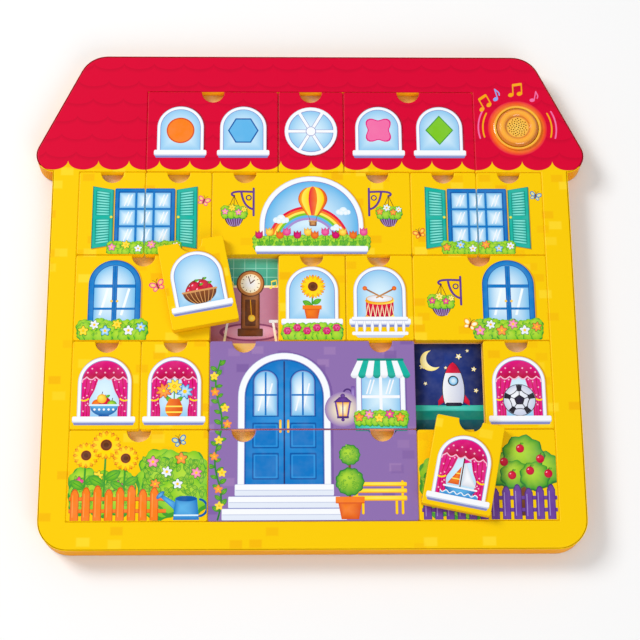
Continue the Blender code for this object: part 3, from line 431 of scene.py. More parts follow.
def floor_paper():
    """Printed picture under the tiles, plain where it only shows through the finger notches.

    The ground's colour drifts from notch to notch, and boards run across it: their grain is noise drawn
    out along X.
    """
    finish = Finish("floor_print", tuple(linear("c9862f")), 0.4)
    at = board_place(finish)
    x, y, z = finish.parts(at)
    stops = [("f4cf80", 0.0), ("fbcf4a", 0.2), ("fbdc9c", 0.4), ("fdd45a", 0.55), ("e2cdb4", 0.7),
             ("f6c084", 0.85)]
    ground = finish.node("ShaderNodeValToRGB", {"stops": [(place, rgba(ink)) for ink, place in stops]},
                         (finish.noise(at, 0.021, 1.0) - 0.5) * 3.2 + 0.5)
    grain = finish.grain((120.0, 900.0, 100.0), 4.0, 0.6)
    joint = ((y / 7.2 - (y / 7.2).math("FLOOR")) - 0.5).math("ABSOLUTE").over(0.47, 0.03)
    picture = finish.mix(grain * 0.3 + joint * 0.25, ground, linear("c98440"))
    fibres = finish.grain((300.0, 300.0, 4000.0), 3.0)
    card = finish.mix(fibres * 0.5, linear("b9a184"), linear("8f7757"))
    base = finish.mix(z.over(FLOOR_FACE - 0.15, 0.1), card, picture)
    return finish.done(base, 0.4 + grain * 0.12, grain, 0.1, 0.00005)


def fibreboard():
    """Pressed brown fibres: short noise streaks with darker flecks, rough, with a woven back."""
    settings = bpy.context.scene.house_print
    finish = Finish("fibreboard", tuple(settings.fibre_brown), 0.8)
    streaks = finish.grain((260.0, 900.0, 600.0), 5.0, 0.65)
    flecks = finish.grain(1500.0)
    brown = finish.mix(streaks * 0.8, settings.fibre_brown, linear("6f4d2e"))
    base = finish.mix(flecks.over(0.66, 0.1) * 0.5, brown, linear("c9a477"))
    weave = finish.node("ShaderNodeTexWave", {"wave_type": "BANDS", "bands_direction": "X"},
                        Vector=finish.place(700.0), Scale=1.0, Distortion=0.6)
    return finish.done(base, 0.72 + streaks * 0.2, streaks + weave * 0.3, 0.35, 0.00012)


def edge_film():
    """Satin film round the house's edge: orange yellow, with the board's fibres faintly through it.

    Its upper rim takes the print's colour, dark red round the roof and yellow round the wall.
    """
    settings = bpy.context.scene.house_print
    finish = Finish("edge_film", tuple(settings.edge_orange), 0.42)
    finish.give("Specular IOR Level", 0.03)
    fibres = finish.grain((90.0, 90.0, 2600.0), 4.0)
    blots = finish.grain(45.0)
    amber = finish.mix(fibres * 0.4 + blots * 0.2, settings.edge_orange, linear("e38c08"))
    x, y, z = finish.parts(board_place(finish))
    rim = finish.mix(y.over(settings.scallop_top / MM - 4.0, 0.5), settings.wall_yellow, linear("9c0026"))
    base = finish.mix(z.over(FACE - 0.75, 0.15), amber, rim)
    return finish.done(base, 0.34 + fibres * 0.16, fibres, 0.15, 0.00008)


def plastic(name, base, roughness):
    """Moulded plastic: an even colour with a faint flow of tone and a fine moulded skin."""
    finish = Finish(name, tuple(base), roughness)
    flow = finish.grain(60.0)
    skin = finish.grain(1400.0)
    darker = tuple(c * 0.8 for c in tuple(base)[:3])
    finish.give("Coat Roughness", 0.05)
    base = finish.mix(flow * 0.24, tuple(base), darker)
    return finish.done(base, roughness - 0.04 + skin * 0.08, skin, 0.06, 0.00004)


def painted_ring_shading(name, base, coat, stops):
    """Glossy plastic with painted shade and highlights by the distance from the button's axis, darker in its
    grooves.
    """
    finish = Finish(name, tuple(base), 0.2, coat=coat)
    x, y, _ = finish.parts(board_place(finish))
    across, up = x - SOUND[0], y - SOUND[1]
    reach = (across * across + up * up).math("SQRT")
    ramp = finish.node("ShaderNodeValToRGB", {"stops": [(place / 20.0, rgba(ink)) for place, ink in stops]},
                       reach / 20.0)
    flow = finish.grain(60.0)
    skin = finish.grain(900.0)
    finish.give("Coat Roughness", 0.1)
    base = finish.mix(flow * 0.2, ramp, tuple(base))
    return finish.done(base, 0.18 + skin * 0.06, skin, 0.05, 0.00004)


def metal(name, base, roughness, stretch):
    """Drawn or rolled metal: fine streaks along one direction in roughness and relief."""
    finish = Finish(name, tuple(linear(base)), roughness, metallic=1.0)
    streaks = finish.grain(stretch, 3.0)
    tarnish = finish.grain(220.0)
    dull = tuple(float(c) * 0.72 for c in linear(base))
    base = finish.mix(tarnish * 0.45, tuple(linear(base)), dull)
    return finish.done(base, roughness + streaks * 0.16 + tarnish * 0.06, streaks, 0.08, 0.00003)


def circuit_face():
    """Green solder mask over copper lines: each line is where a coarse cell pattern is near its edge."""
    finish = Finish("circuit_mask", tuple(linear("0d6b33")), 0.35)
    at = finish.place(1000.0)
    cells = finish.node("ShaderNodeTexVoronoi", {"feature": "DISTANCE_TO_EDGE", "voronoi_dimensions": "2D"},
                        Vector=at, Scale=0.28)
    line = (0.06 - cells).over(0.0, 0.03)
    weave = finish.grain((2500.0, 2500.0, 300.0), 1.0)
    base = finish.mix(line * 0.6, linear("0d6b33"), linear("2f9a55"))
    return finish.done(base, 0.28 + weave * 0.15, line + weave * 0.3, 0.2, 0.00005)


def paper_cone():
    """Pressed black paper: fine fibres and rings."""
    finish = Finish("paper_cone_black", tuple(linear("17161a")), 0.85)
    fibres = finish.grain(2200.0, 4.0)
    base = finish.mix(fibres * 0.5, linear("17161a"), linear("3a383d"))
    return finish.done(base, 0.75 + fibres * 0.2, fibres, 0.4, 0.00006)


def dress(material, *nodes):
    """Gives CAD nodes this finish in all their material slots."""
    for node in nodes:
        mesh_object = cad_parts[node]
        if isinstance(mesh_object, str):
            mesh_object = bpy.data.objects[mesh_object]
        if not mesh_object.material_slots:
            mesh_object.data.materials.append(None)
        for slot in mesh_object.material_slots:
            slot.link = "OBJECT"
            slot.material = material


def wire(name, path, radius, side, material, node):
    """A round wire with rounded ends along a path, in metres.

    P(u, v) = c(u) + r(u) (cos v a(u) + sin v o(u)), where c is the path by its length u, a = t x side and
    o = a x t for its direction t, and r(u) = sqrt(radius^2 - (radius - e)^2) for a point
    e = min(u, length - u, radius) from the nearer end. It stands in for a CAD node.
    """
    along = np.concatenate([[0.0], np.cumsum(np.linalg.norm(np.diff(path, axis=0), axis=1))])
    dome = radius * (1 - np.cos(np.linspace(0.35, np.pi / 2, 5)))
    body = np.linspace(radius, along[-1] - radius, len(path))[1:-1]
    reach = np.concatenate([dome, body, along[-1] - dome[::-1]])
    centre = np.stack([np.interp(reach, along, path[:, axis]) for axis in range(3)], axis=1)
    ahead = np.gradient(centre, reach, axis=0)
    ahead /= np.linalg.norm(ahead, axis=1, keepdims=True)
    across = np.cross(ahead, side)
    across /= np.linalg.norm(across, axis=1, keepdims=True)
    over = np.cross(across, ahead)
    from_end = np.minimum(np.minimum(reach, along[-1] - reach), radius)
    thick = np.sqrt(radius ** 2 - (radius - from_end) ** 2)[:, None, None]
    turn = np.linspace(0.0, 2 * np.pi, 17)[:-1]
    round_it = np.cos(turn)[None, :, None] * across[:, None] + np.sin(turn)[None, :, None] * over[:, None]
    points = (centre[:, None] + thick * round_it).reshape(-1, 3)
    rows, sides = len(reach), len(turn)
    near = np.arange(sides)
    first = (np.arange(rows - 1)[:, None] * sides + near).ravel()
    second = (np.arange(rows - 1)[:, None] * sides + (near + 1) % sides).ravel()
    quads = np.stack([first, first + sides, second + sides, second], axis=1)
    ends = [near.tolist(), (near[::-1] + (rows - 1) * sides).tolist()]
    mesh = bpy.data.meshes.new(name)
    mesh.from_pydata(points.tolist(), [], quads.tolist() + ends)
    mesh.polygons.foreach_set("use_smooth", np.ones(len(mesh.polygons), bool))
    mesh.materials.append(bpy.data.materials[material])
    piece = bpy.data.objects.new(name, mesh)
    bpy.context.scene.collection.objects.link(piece)
    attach(piece, "board")
    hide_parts(node)
    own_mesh(piece)


def wind_spring():
    """The conical spring under the button: its radius shrinks evenly as it turns and rises."""
    low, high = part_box("return_spring")
    share = np.linspace(0.0, 1.0, 40 * SPRING_TURNS + 1)
    radius = (SPRING_WIDE + (SPRING_NARROW - SPRING_WIDE) * share) * MM
    turn = 2 * np.pi * SPRING_TURNS * share
    height = low[2] + SPRING_WIRE * MM + (high[2] - low[2] - 2 * SPRING_WIRE * MM) * share
    x, y = SOUND[0] * MM + radius * np.cos(turn), (SOUND[1] + EAVES) * MM + radius * np.sin(turn)
    wire("spring_coil", np.stack([x, y, height], axis=1), SPRING_WIRE * MM, (0, 0, 1), "plain_steel",
         "return_spring")


def bend_leads():
    """The two leads of the speaker, each one wave of a sine from its lower end to its upper end."""
    share = np.linspace(0.0, 1.0, 24)
    for side, tone in (("left", "black"), ("right", "red")):
        node = f"speaker_wire_{side}"
        low, high = (np.array(corner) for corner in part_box(node))
        wave = LEAD_WIRE * MM * np.sin(2 * np.pi * share)
        path = (low + high) / 2 + np.stack([0 * share, wave, (high[2] - low[2]) * (share - 0.5)], axis=1)
        wire(f"speaker_lead_{side}", path, LEAD_WIRE * MM, (1, 0, 0), f"wire_sleeve_{tone}", node)


def build_studio():
    """Pale floor, a large soft lamp at the upper left, even light all round, and the camera."""
    settings = bpy.context.scene.studio
    mesh = bpy.data.meshes.new("floor")
    reach = 3.0
    mesh.from_pydata([(-reach, -reach, 0), (reach, -reach, 0), (reach, reach, 0), (-reach, reach, 0)], [],
                     [(0, 1, 2, 3)])
    floor = bpy.data.objects.new("floor", mesh)
    finish = Finish("pale_floor", (0.93, 0.93, 0.93), 0.7)
    finish.give("Specular IOR Level", 0.1)
    cloudy = finish.grain(3.0, 1.0)
    finish.give("Base Color", finish.mix(cloudy * 0.3, (0.94, 0.94, 0.94), (0.91, 0.915, 0.925)))
    mesh.materials.append(finish.material)
    bpy.context.scene.collection.objects.link(floor)
    floor.location = (0, 0, CAD_BOX[0][2] - 0.0002)

    world = bpy.data.worlds.new("even_light")
    world.use_nodes = True
    background = next(n for n in world.node_tree.nodes if n.type == "BACKGROUND")
    background.inputs[0].default_value = (1.0, 1.0, 1.0, 1.0)
    background.inputs[1].default_value = settings.fill_level
    bpy.context.scene.world = world

    for name, place, power, size in (("key_lamp", (-2.1, 1.3, 2.1), settings.key_power, 1.2),
                                     ("fill_lamp", (1.1, -2.5, 2.0), settings.fill_power, 1.9)):
        lamp = bpy.data.lights.new(name, "AREA")
        lamp.size, lamp.energy = size, power
        lamp_object = bpy.data.objects.new(name, lamp)
        lamp_object.location = place
        lamp_object.rotation_euler = (-Vector(place)).to_track_quat("-Z", "Y").to_euler()
        bpy.context.scene.collection.objects.link(lamp_object)

    tilt, swing, roll = (math.radians(a) for a in (settings.tilt, settings.swing, settings.roll))
    swung = Matrix.Rotation(-swing, 3, "Z")
    right = swung @ Vector((1, 0, 0))
    up = swung @ Vector((0, math.cos(tilt), math.sin(tilt)))
    ahead = swung @ Vector((0, math.sin(tilt), -math.cos(tilt)))
    across = math.cos(roll) * right + math.sin(roll) * up
    upward = math.cos(roll) * up - math.sin(roll) * right
    target = Vector((0.00528, -0.0205, FACE * MM))
    camera = bpy.data.objects.new("camera", bpy.data.cameras.new("camera"))
    camera.data.sensor_width, camera.data.lens = 36.0, settings.focal
    camera.data.clip_start, camera.data.clip_end = 0.05, 20.0
    turned = Matrix((across, upward, -ahead)).transposed().to_4x4()
    camera.matrix_world = Matrix.Translation(target - settings.distance * ahead) @ turned
    bpy.context.scene.collection.objects.link(camera)
    bpy.context.scene.camera = camera
    bpy.context.scene.view_settings.view_transform = "Standard"


def cell_area(tile, margin):
    """Left, lower, right and upper bounds of a tile's cell, less a margin, in millimetres from the eaves."""
    row, left, right = CELLS[tile]
    return left * UNIT + margin, -(row + 1) * ROW + margin, right * UNIT - margin, -row * ROW - margin


class Print:
    """Flat shapes printed on one piece: grids of coloured points, one thin layer over another."""

    def __init__(self, name, body, slot, tile=None, face=FACE, area=None):
        settings = bpy.context.scene.house_print
        self.name, self.body, self.slot, self.step = name, body, slot, settings.layer_step / MM
        self.face, self.notches, self.top, self.loose = face, (), None, None
        if tile:
            row, left, right = CELLS[tile]
            area = cell_area(tile, settings.print_margin / MM)
            middle, wide = (left + right) / 2 * UNIT, right - left > 2.5
            self.notches, self.top = ((middle - UNIT, middle + UNIT) if wide else (middle,)), -row * ROW
            if tile in LOOSE:
                self.face, self.loose = LOOSE_FACE, seat_of(tile)
        self.low, self.high = area[:2], area[2:]
        self.origin = np.zeros(2)
        self.points, self.inks, self.faces, self.count = [], [], [], 0
        self.boxes = np.zeros((0, 5))

    def lay(self, points, ink):
        """Adds a grid of points, rows by columns by 2, with colours that broadcast to it.

        A point past the tile's edge moves straight onto the edge, and one inside a finger notch moves
        straight down onto its arc; a grid that meets either is cut finer first, and its squares that lie
        outside are left out. Each other square becomes two triangles that face up. The layer is the
        lowest one over every shape whose box this one's box meets.
        """
        points = points + self.origin
        low, high = points.min((0, 1)), points.max((0, 1))
        if (low >= self.high).any() or (high <= self.low).any():
            return
        notched = any(abs((low[0] + high[0]) / 2 - n) < NOTCH + (high[0] - low[0]) / 2 for n in self.notches)
        cut = (low < self.low).any() or (high > self.high).any() or (notched and high[1] > self.top - NOTCH)
        shown = np.broadcast_to(ink, (*points.shape[:2], 3))
        if cut:
            both = finer(finer(np.concatenate([points, shown], 2)).swapaxes(0, 1)).swapaxes(0, 1)
            points, shown = both[..., :2], both[..., 2:]
        rows, columns = points.shape[:2]
        given = points.reshape(-1, 2)
        x = np.clip(given[:, 0], self.low[0], self.high[0])
        roof = np.full_like(x, self.high[1])
        for notch in self.notches:
            hollow = np.sqrt(np.clip(NOTCH**2 - (x - notch) ** 2, 0.0, None))
            roof = np.where(hollow > 0, np.minimum(roof, self.top - hollow), roof)
        spots = np.stack([x, np.clip(given[:, 1], self.low[1], roof)], 1)
        outside = (np.abs(spots - given) > 1e-6).any(1)
        spots, first, index = np.unique(np.round(spots, 3), axis=0, return_index=True, return_inverse=True)

        def squares(values):
            """The four corners' values of each square of the grid."""
            grid = values.reshape(rows, columns)
            return np.stack([grid[:-1, :-1], grid[1:, :-1], grid[1:, 1:], grid[:-1, 1:]], -1).reshape(-1, 4)

        quads = squares(index)[~squares(outside).all(1)]
        faces = np.concatenate([quads[:, [0, 1, 2]], quads[:, [0, 2, 3]]])
        a, b, c = (spots[faces[:, corner]] for corner in range(3))
        double_area = (b[:, 0] - a[:, 0]) * (c[:, 1] - a[:, 1]) - (b[:, 1] - a[:, 1]) * (c[:, 0] - a[:, 0])
        faces = np.where(double_area[:, None] < 0, faces[:, ::-1], faces)[np.abs(double_area) > LEAST_AREA]
        if not len(faces):
            return
        used = spots[faces.ravel()]
        box = np.concatenate([used.min(0), used.max(0)])
        met = ((self.boxes[:, :2] < box[2:]) & (self.boxes[:, 2:4] > box[:2])).all(1)
        layer = 1 + self.boxes[met, 4].max(initial=0)
        self.boxes = np.concatenate([self.boxes, [[*box, layer]]])
        self.points.append(np.concatenate([spots, np.full((len(spots), 1), layer * self.step)], 1))
        self.inks.append(shown.reshape(-1, 3)[first])
        self.faces.append(faces + self.count)
        self.count += len(spots)

    def fill(self, outline, rim, middle=None, hub=None, rings=None):
        """A closed outline, filled by lines from a hub to it, from the middle's colour to the rim's."""
        outline = np.asarray(outline, float)
        rings = rings or (1 if middle is None else 4)
        rho = np.linspace(0, 1, rings + 1)[:, None, None]
        start = outline[:-1].mean(0) if hub is None else np.asarray(hub, float)
        outer, inner = linear(rim), linear(middle or rim)
        self.lay(start + rho * (outline - start), inner + (outer - inner) * rho**1.6)

    def disc(self, x, y, across, rim, middle=None, hub=None, **shape):
        """A filled oval."""
        self.fill(oval(x, y, across, **shape), rim, middle, hub)

    def box(self, x, y, width, height, radius, rim, middle=None, hub=None):
        """A filled upright box with round corners; x and y are its lower left corner.

        Each corner is a quarter circle, from the upper right one round to the lower right one.
        """
        starts = np.linspace(0, 2 * np.pi, 25)[:24].reshape(4, 6)[:, :1]
        corner = np.array([(width, height), (0, height), (0, 0), (width, 0)], float)[:, None]
        inward = np.array([(-1, -1), (1, -1), (1, 1), (-1, 1)], float)[:, None] * radius
        angle = starts + np.linspace(0, np.pi / 2, 6)
        outline = (corner + inward + radius * np.stack([np.cos(angle), np.sin(angle)], -1)).reshape(-1, 2)
        self.fill(np.concatenate([outline, outline[:1]]) + (x, y), rim, middle, hub)

    def arch(self, x, y, width, height, rim, middle=None, hub=None, rise=None, rings=None):
        """A filled window outline: straight sides up from y, and half an ellipse over them."""
        rise = width / 2 if rise is None else rise
        t = np.linspace(0, np.pi, 28)
        top = np.stack([x + width / 2 * np.cos(t), y + height - rise + rise * np.sin(t)], 1)
        left, right = (x - width / 2, y), (x + width / 2, y)
        self.fill(np.concatenate([[right], top, [left, right]]), rim, middle, hub, rings)

    def patch(self, corners, rim, middle=None, hub=None, rings=None):
        """A filled shape with straight sides."""
        self.fill([*corners, corners[0]], rim, middle, hub, rings)

    def band(self, path, width, ink, end_ink=None, caps=True):
        """A stripe along a path: half its width to each side, square to the path, with round ends."""
        path = np.asarray(path, float)
        along = np.gradient(path, axis=0)
        along /= np.maximum(np.linalg.norm(along, axis=1, keepdims=True), 1e-9)
        side = np.stack([-along[:, 1], along[:, 0]], 1) * np.broadcast_to(width, len(path))[:, None] / 2
        share = np.linspace(0, 1, len(path))[None, :, None]
        first, last = linear(ink), linear(end_ink or ink)
        self.lay(np.stack([path - side, path + side]), first + (last - first) * share)
        if caps:
            for end, shown in ((path[0], ink), (path[-1], end_ink or ink)):
                self.disc(*end, width / 2, shown, count=12)

    def bar(self, x0, y0, x1, y1, width, ink, end_ink=None, count=12):
        """A straight stripe with square ends."""
        self.band(line((x0, y0), (x1, y1), count=count), width, ink, end_ink, False)

    def stick(self, x0, y0, x1, y1, width, ink, end_ink=None, count=2):
        """A straight stripe with round ends."""
        self.band(line((x0, y0), (x1, y1), count=count), width, ink, end_ink)

    def ring(self, x, y, radius, width, ink, start=0, end=360, count=40):
        """A stripe along a circle, from one direction in degrees to another."""
        t = np.radians(np.linspace(start, end, count))
        path = np.stack([x + radius * np.cos(t), y + radius * np.sin(t)], 1)
        self.band(path, width, ink, caps=end - start < 360)

    def between(self, lower, upper, ink, upper_ink=None, steps=3):
        """The space between two curves with the same number of points."""
        share = np.linspace(0, 1, steps + 1)[:, None, None]
        low, high = linear(ink), linear(upper_ink or ink)
        self.lay(lower + (upper - lower) * share, low + (high - low) * share)

    def finish(self):
        """Puts the shapes in one mesh with the printing ink, turned and moved with a tile that is out."""
        points = np.concatenate(self.points)
        if self.loose:
            seat, out, turn = self.loose
            spin = np.array([[math.cos(turn), -math.sin(turn)], [math.sin(turn), math.cos(turn)]])
            points[:, :2] = (points[:, :2] - seat) @ spin.T + out
        points += (0, EAVES, self.face)
        mesh = bpy.data.meshes.new(self.name)
        mesh.from_pydata(points * MM, [], np.concatenate(self.faces))
        attribute = mesh.color_attributes.new("ink", "FLOAT_COLOR", "POINT")
        shown = np.concatenate(self.inks)
        attribute.data.foreach_set("color", np.concatenate([shown, np.ones((len(shown), 1))], 1).ravel())
        mesh.materials.append(printing_ink())
        made = bpy.data.objects.new(self.name, mesh)
        bpy.context.scene.collection.objects.link(made)
        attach(made, self.body)


def finer(grid):
    """The same grid with lines put in between its columns, so that no step along a row is too long."""
    longest = np.linalg.norm(np.diff(grid[..., :2], axis=1), axis=2).max(0)
    cuts = np.maximum(1, np.ceil(longest / CUT_REACH)).astype(int)
    start = np.repeat(np.arange(len(cuts)), cuts)
    inside = np.arange(cuts.sum()) - np.repeat(np.cumsum(cuts) - cuts, cuts)
    share = (inside / cuts[start])[:, None]
    between = grid[:, start] * (1 - share) + grid[:, start + 1] * share
    return np.concatenate([between, grid[:, -1:]], 1)


def printing_ink():
    """Ink with the colours of the printed shapes, under the same satin film as the paper round them."""
    if "printing_ink" in bpy.data.materials:
        return bpy.data.materials["printing_ink"]
    finish = Finish("printing_ink", (0.8, 0.8, 0.8), 0.34)
    finish.give("Specular IOR Level", 0.1)
    ink = finish.node("ShaderNodeAttribute", {"attribute_name": "ink"})
    film, blots = finish.grain(1800.0), finish.grain(140.0)
    base = finish.mix((blots - 0.4).math("MAXIMUM", 0.0) * 0.08, ink, (1.0, 1.0, 1.0))
    return finish.done(base, 0.31 + film * 0.08, film * 0.5, 0.12, 0.00006)


def oval(x, y, across, up=None, turn=0.0, waves=0, depth=0.0, count=36):
    """Closed outline of an ellipse, whose radius may swell and sink in waves."""
    t = np.linspace(0, 2 * np.pi, count + 1)
    reach = 1 + depth * np.cos(waves * t)
    flat = np.stack([np.cos(t) * across * reach, np.sin(t) * (across if up is None else up) * reach], 1)
    return turned(flat, turn) + (x, y)


def turned(points, degrees):
    """Points turned anticlockwise about the origin."""
    angle = math.radians(degrees)
    return np.asarray(points, float) @ np.array([[math.cos(angle), math.sin(angle)],
                                                 [-math.sin(angle), math.cos(angle)]])


def line(*corners, count=12):
    """Path through corners, each straight run cut into equal steps."""
    corners = np.array(corners, float)
    at = np.linspace(0, len(corners) - 1, (len(corners) - 1) * count + 1)
    return np.stack([np.interp(at, np.arange(len(corners)), corners[:, k]) for k in (0, 1)], 1)


def bend(*poles, count=20):
    """Smooth path that starts and ends at the first and last pole: a Bernstein sum over all of them."""
    t, order = np.linspace(0, 1, count)[:, None], len(poles) - 1
    return sum(math.comb(order, k) * t**k * (1 - t) ** (order - k) * np.array(pole, float)
               for k, pole in enumerate(poles))


def motif(draw):
    """A drawing with an origin of its own, whose place its caller gives first, from the caller's origin."""

    def placed(p, x, y, *given):
        """Draws it with the origin moved by x and y, then puts the origin back."""
        before = p.origin
        p.origin = before + (x, y)
        draw(p, *given)
        p.origin = before

    return placed


@motif
def arched_window(p, width, height, rim=2.7, shade="dfa400"):
    """White frame round glass that pales to its middle, with a lilac line inside the frame."""
    p.arch(0.6, -0.2, width + 1.2, height + 0.9, shade)
    p.arch(0, 0, width, height, "shade", "white", rings=2)
    p.arch(0, 0, width - 0.7, height - 0.4, "white")
    p.arch(0, 0, width - 2 * rim + 0.9, height - rim + 0.45, "lilac")
    p.arch(0, 0, width - 2 * rim, height - rim, "glass", "pane", (0, height * 0.42))


@motif
def sill(p, width, height=4.4):
    """White ledge with its top at the origin, a grey underside and a lilac shadow."""
    p.box(0.9 - width / 2, -height - 1.5, width - 1.8, height, 1.0, "lilac")
    p.box(-width / 2, -height, width, height, 1.1, "shade")
    p.box(-width / 2, 0.9 - height, width, height - 0.9, 1.1, "white")


@motif
def curtains(p, width, height):
    """Two drapes drawn aside under a scalloped valance, with dots.

    The outer edge is the window's arch; the inner one starts near it at the sill and swings to the middle.
    """
    rise, t = width / 2, np.linspace(0, 1, 30)
    reach = rise * np.sqrt(1 - np.clip((t - 1) * height / rise + 1, 0, 1) ** 2)
    inner = np.minimum(rise * (0.6 - 0.62 * t**1.7 + 0.13 * np.exp(-(((t - 0.3) / 0.12) ** 2))), reach)
    for side in (-1, 1):
        outer_edge, inner_edge = (np.stack([side * across, t * height], 1) for across in (reach, inner))
        p.between(outer_edge, inner_edge, "magenta")
        for share in (0.3, 0.62, 0.9):
            p.band((outer_edge + (inner_edge - outer_edge) * share)[:26], 0.45, "crimson", caps=False)
        for k in range(9):
            share, row = (0.22, 0.55, 0.8)[k % 3], 3 + k * 2 + k % 2
            p.disc(*(outer_edge[row] * (1 - share) + inner_edge[row] * share), 0.55, "blush", count=8)
        p.band(bend((side * rise, height * 0.3), (side * rise * 0.86, height * 0.27),
                    (side * rise * 0.7, height * 0.32)), 1.1, "yellow")
    across = np.linspace(-1, 1, 61)
    top = height - rise + rise * np.sqrt(1 - across**2)
    low = np.minimum(height * 0.7 - 1.9 * np.abs(np.sin(across * np.pi * 2.5)) + 0.5, top)
    low, top = (np.stack([across * rise, level], 1) for level in (low, top))
    p.between(low, top, "crimson", "magenta")
    p.band(low, 0.8, "blush", caps=False)
    for k in range(9):
        p.disc((k - 4) * rise * 0.19, height * (0.79 + 0.07 * (k % 2)), 0.6, "blush", count=8)


@motif
def flower(p, radius, ink, petals, edge=None):
    """Round petals: the outline's radius swells once for each petal, and its colour pales inwards."""
    if edge:
        p.disc(0, 0, radius * 1.12, edge, turn=18, waves=petals, depth=0.24, count=petals * 8)
    p.disc(0, 0, radius * 0.98, ink, PALER[ink], turn=18, waves=petals, depth=0.26, count=petals * 8)
    p.disc(0, 0, radius * 0.33, "rust" if ink in ("yellow", "sun", "orange") else "gold", count=12)
    p.disc(0, 0, radius * 0.27, "yellow", count=12)


@motif
def rose(p, radius):
    """Wavy bloom, paler in its middle, with three arcs for its inner petals."""
    p.disc(0, 0, radius, "crimson", waves=6, depth=0.07)
    p.disc(-radius * 0.05, radius * 0.08, radius * 0.88, "magenta", "pink", waves=5, depth=0.06)
    for k, size in enumerate((0.62, 0.4, 0.2)):
        p.ring(0, 0, radius * size, radius * 0.13, "crimson", 40 + 110 * k, 250 + 110 * k, 12)


@motif
def leaf(p, size, turn, ink="leaf", vein="green"):
    """Pointed leaf from its stalk: two bends that meet at the tip."""
    half = bend((0, 0), (size * 0.3, size * 0.42), (size * 0.8, size * 0.3), (size, 0), count=9)
    p.fill(turned([*half, *(half * (1, -1))[::-1]], turn), vein, ink, rings=2)
    p.band(turned(line((size * 0.08, 0), (size * 0.8, 0), count=3), turn), size * 0.05, vein, caps=False)


@motif
def stem(p, height, lean, width=0.6):
    """Green stalk that leans as it rises."""
    p.band(bend((0, 0), (lean * 0.2, height * 0.5), (lean, height), count=8), width, "green")


@motif
def tulip(p, height, lean, ink, dark):
    """Cup with three points on a stalk, between two leaves."""
    stem(p, 0, 0, height - 3.2, lean)
    leaf(p, 0, 0, height * 0.55, 68)
    leaf(p, 0, 0, height * 0.5, 116)
    cup = [(-1, 0.5), (-1.05, -0.4), (-0.6, -1), (0, -1.15), (0.6, -1), (1.05, -0.4), (1, 0.5), (0.95, 1.2),
           (0.45, 0.55), (0, 1.3), (-0.45, 0.55), (-0.95, 1.2)]
    p.patch(np.array(cup) * 2.56 + (lean, height), dark, ink)


def bush(p, x0, x1, y0, y1, seed, flowers=()):
    """Hedge of round clumps in three rows, each clump edged darker, with small leaves and flowers."""
    rng = np.random.default_rng(seed)
    width, height = x1 - x0, y1 - y0
    count = max(3, int(width / (height * 0.42)))
    for row, (low, size) in enumerate(((0.62, 0.4), (0.4, 0.4), (0.14, 0.36))):
        for k in range(count + row % 2):
            x = x0 + width * (k + 0.5 - row % 2 * 0.5) / count + rng.uniform(-0.1, 0.1) * height
            x = min(max(x, x0 + height * 0.3), x1 - height * 0.3)
            y = y0 + height * (low + rng.uniform(-0.03, 0.06))
            radius = height * size * rng.uniform(0.86, 1.05)
            p.disc(x, y, radius, "green", waves=7, depth=0.07, turn=rng.uniform(0, 50))
            hub = x - radius * 0.3, y + radius * 0.45
            p.disc(x - 0.1, y + radius * 0.1, radius * 0.9, "leaf", "lime", hub,
                   waves=7, depth=0.08, turn=rng.uniform(0, 50))
    for _ in range(int(width * height / 14)):
        x, y = rng.uniform(x0 + 1.5, x1 - 1.5), rng.uniform(y0 + 1.5, y1 - height * 0.22)
        leaf(p, x, y, height * 0.14, rng.uniform(20, 160), "lime", "green")
    for k, (share, level, size, ink) in enumerate(flowers):
        place = x0 + width * share, y0 + height * level
        if ink == "rose":
            rose(p, *place, size)
        else:
            flower(p, *place, size, ink, 5 + k % 2, "moss")


@motif
def butterfly(p, size, turn, ink="orange", dark="rust", spot="sun"):
    """Two pairs of wings with pale middles, two feelers and a body."""
    for side in (-1, 1):
        for reach, level, across, tall, tilt in ((0.52, 0.3, 0.5, 0.36, 35), (0.4, -0.32, 0.36, 0.28, -35)):
            wing = turned([(side * reach * size, level * size)], turn)[0]
            tilt = side * tilt + turn
            p.disc(*wing, across * size, dark, up=tall * size, turn=tilt)
            p.disc(*wing, across * size * 0.8, ink, spot, up=tall * size * 0.76, turn=tilt)
        feeler = bend((0, 0.4), (side * 0.1, 0.8), (side * 0.35, 0.9), count=6)
        p.band(turned(feeler * size, turn), size * 0.06, "umber")
    p.disc(0, 0, size * 0.1, "umber", "brown", up=size * 0.5, turn=turn)


@motif
def pot(p, width, height):
    """Flowerpot: sides that lean in downwards, under a rim."""
    half = width / 2
    p.patch([(-half * 0.84, height * 0.8), (-half * 0.6, 0), (half * 0.6, 0), (half * 0.84, height * 0.8)],
            "rust", "orange", (-half * 0.3, height * 0.5))
    p.box(-half, height * 0.7, width, height * 0.3, 0.5, "rust")
    p.box(-half, height * 0.74, width, height * 0.26, 0.5, "orange")


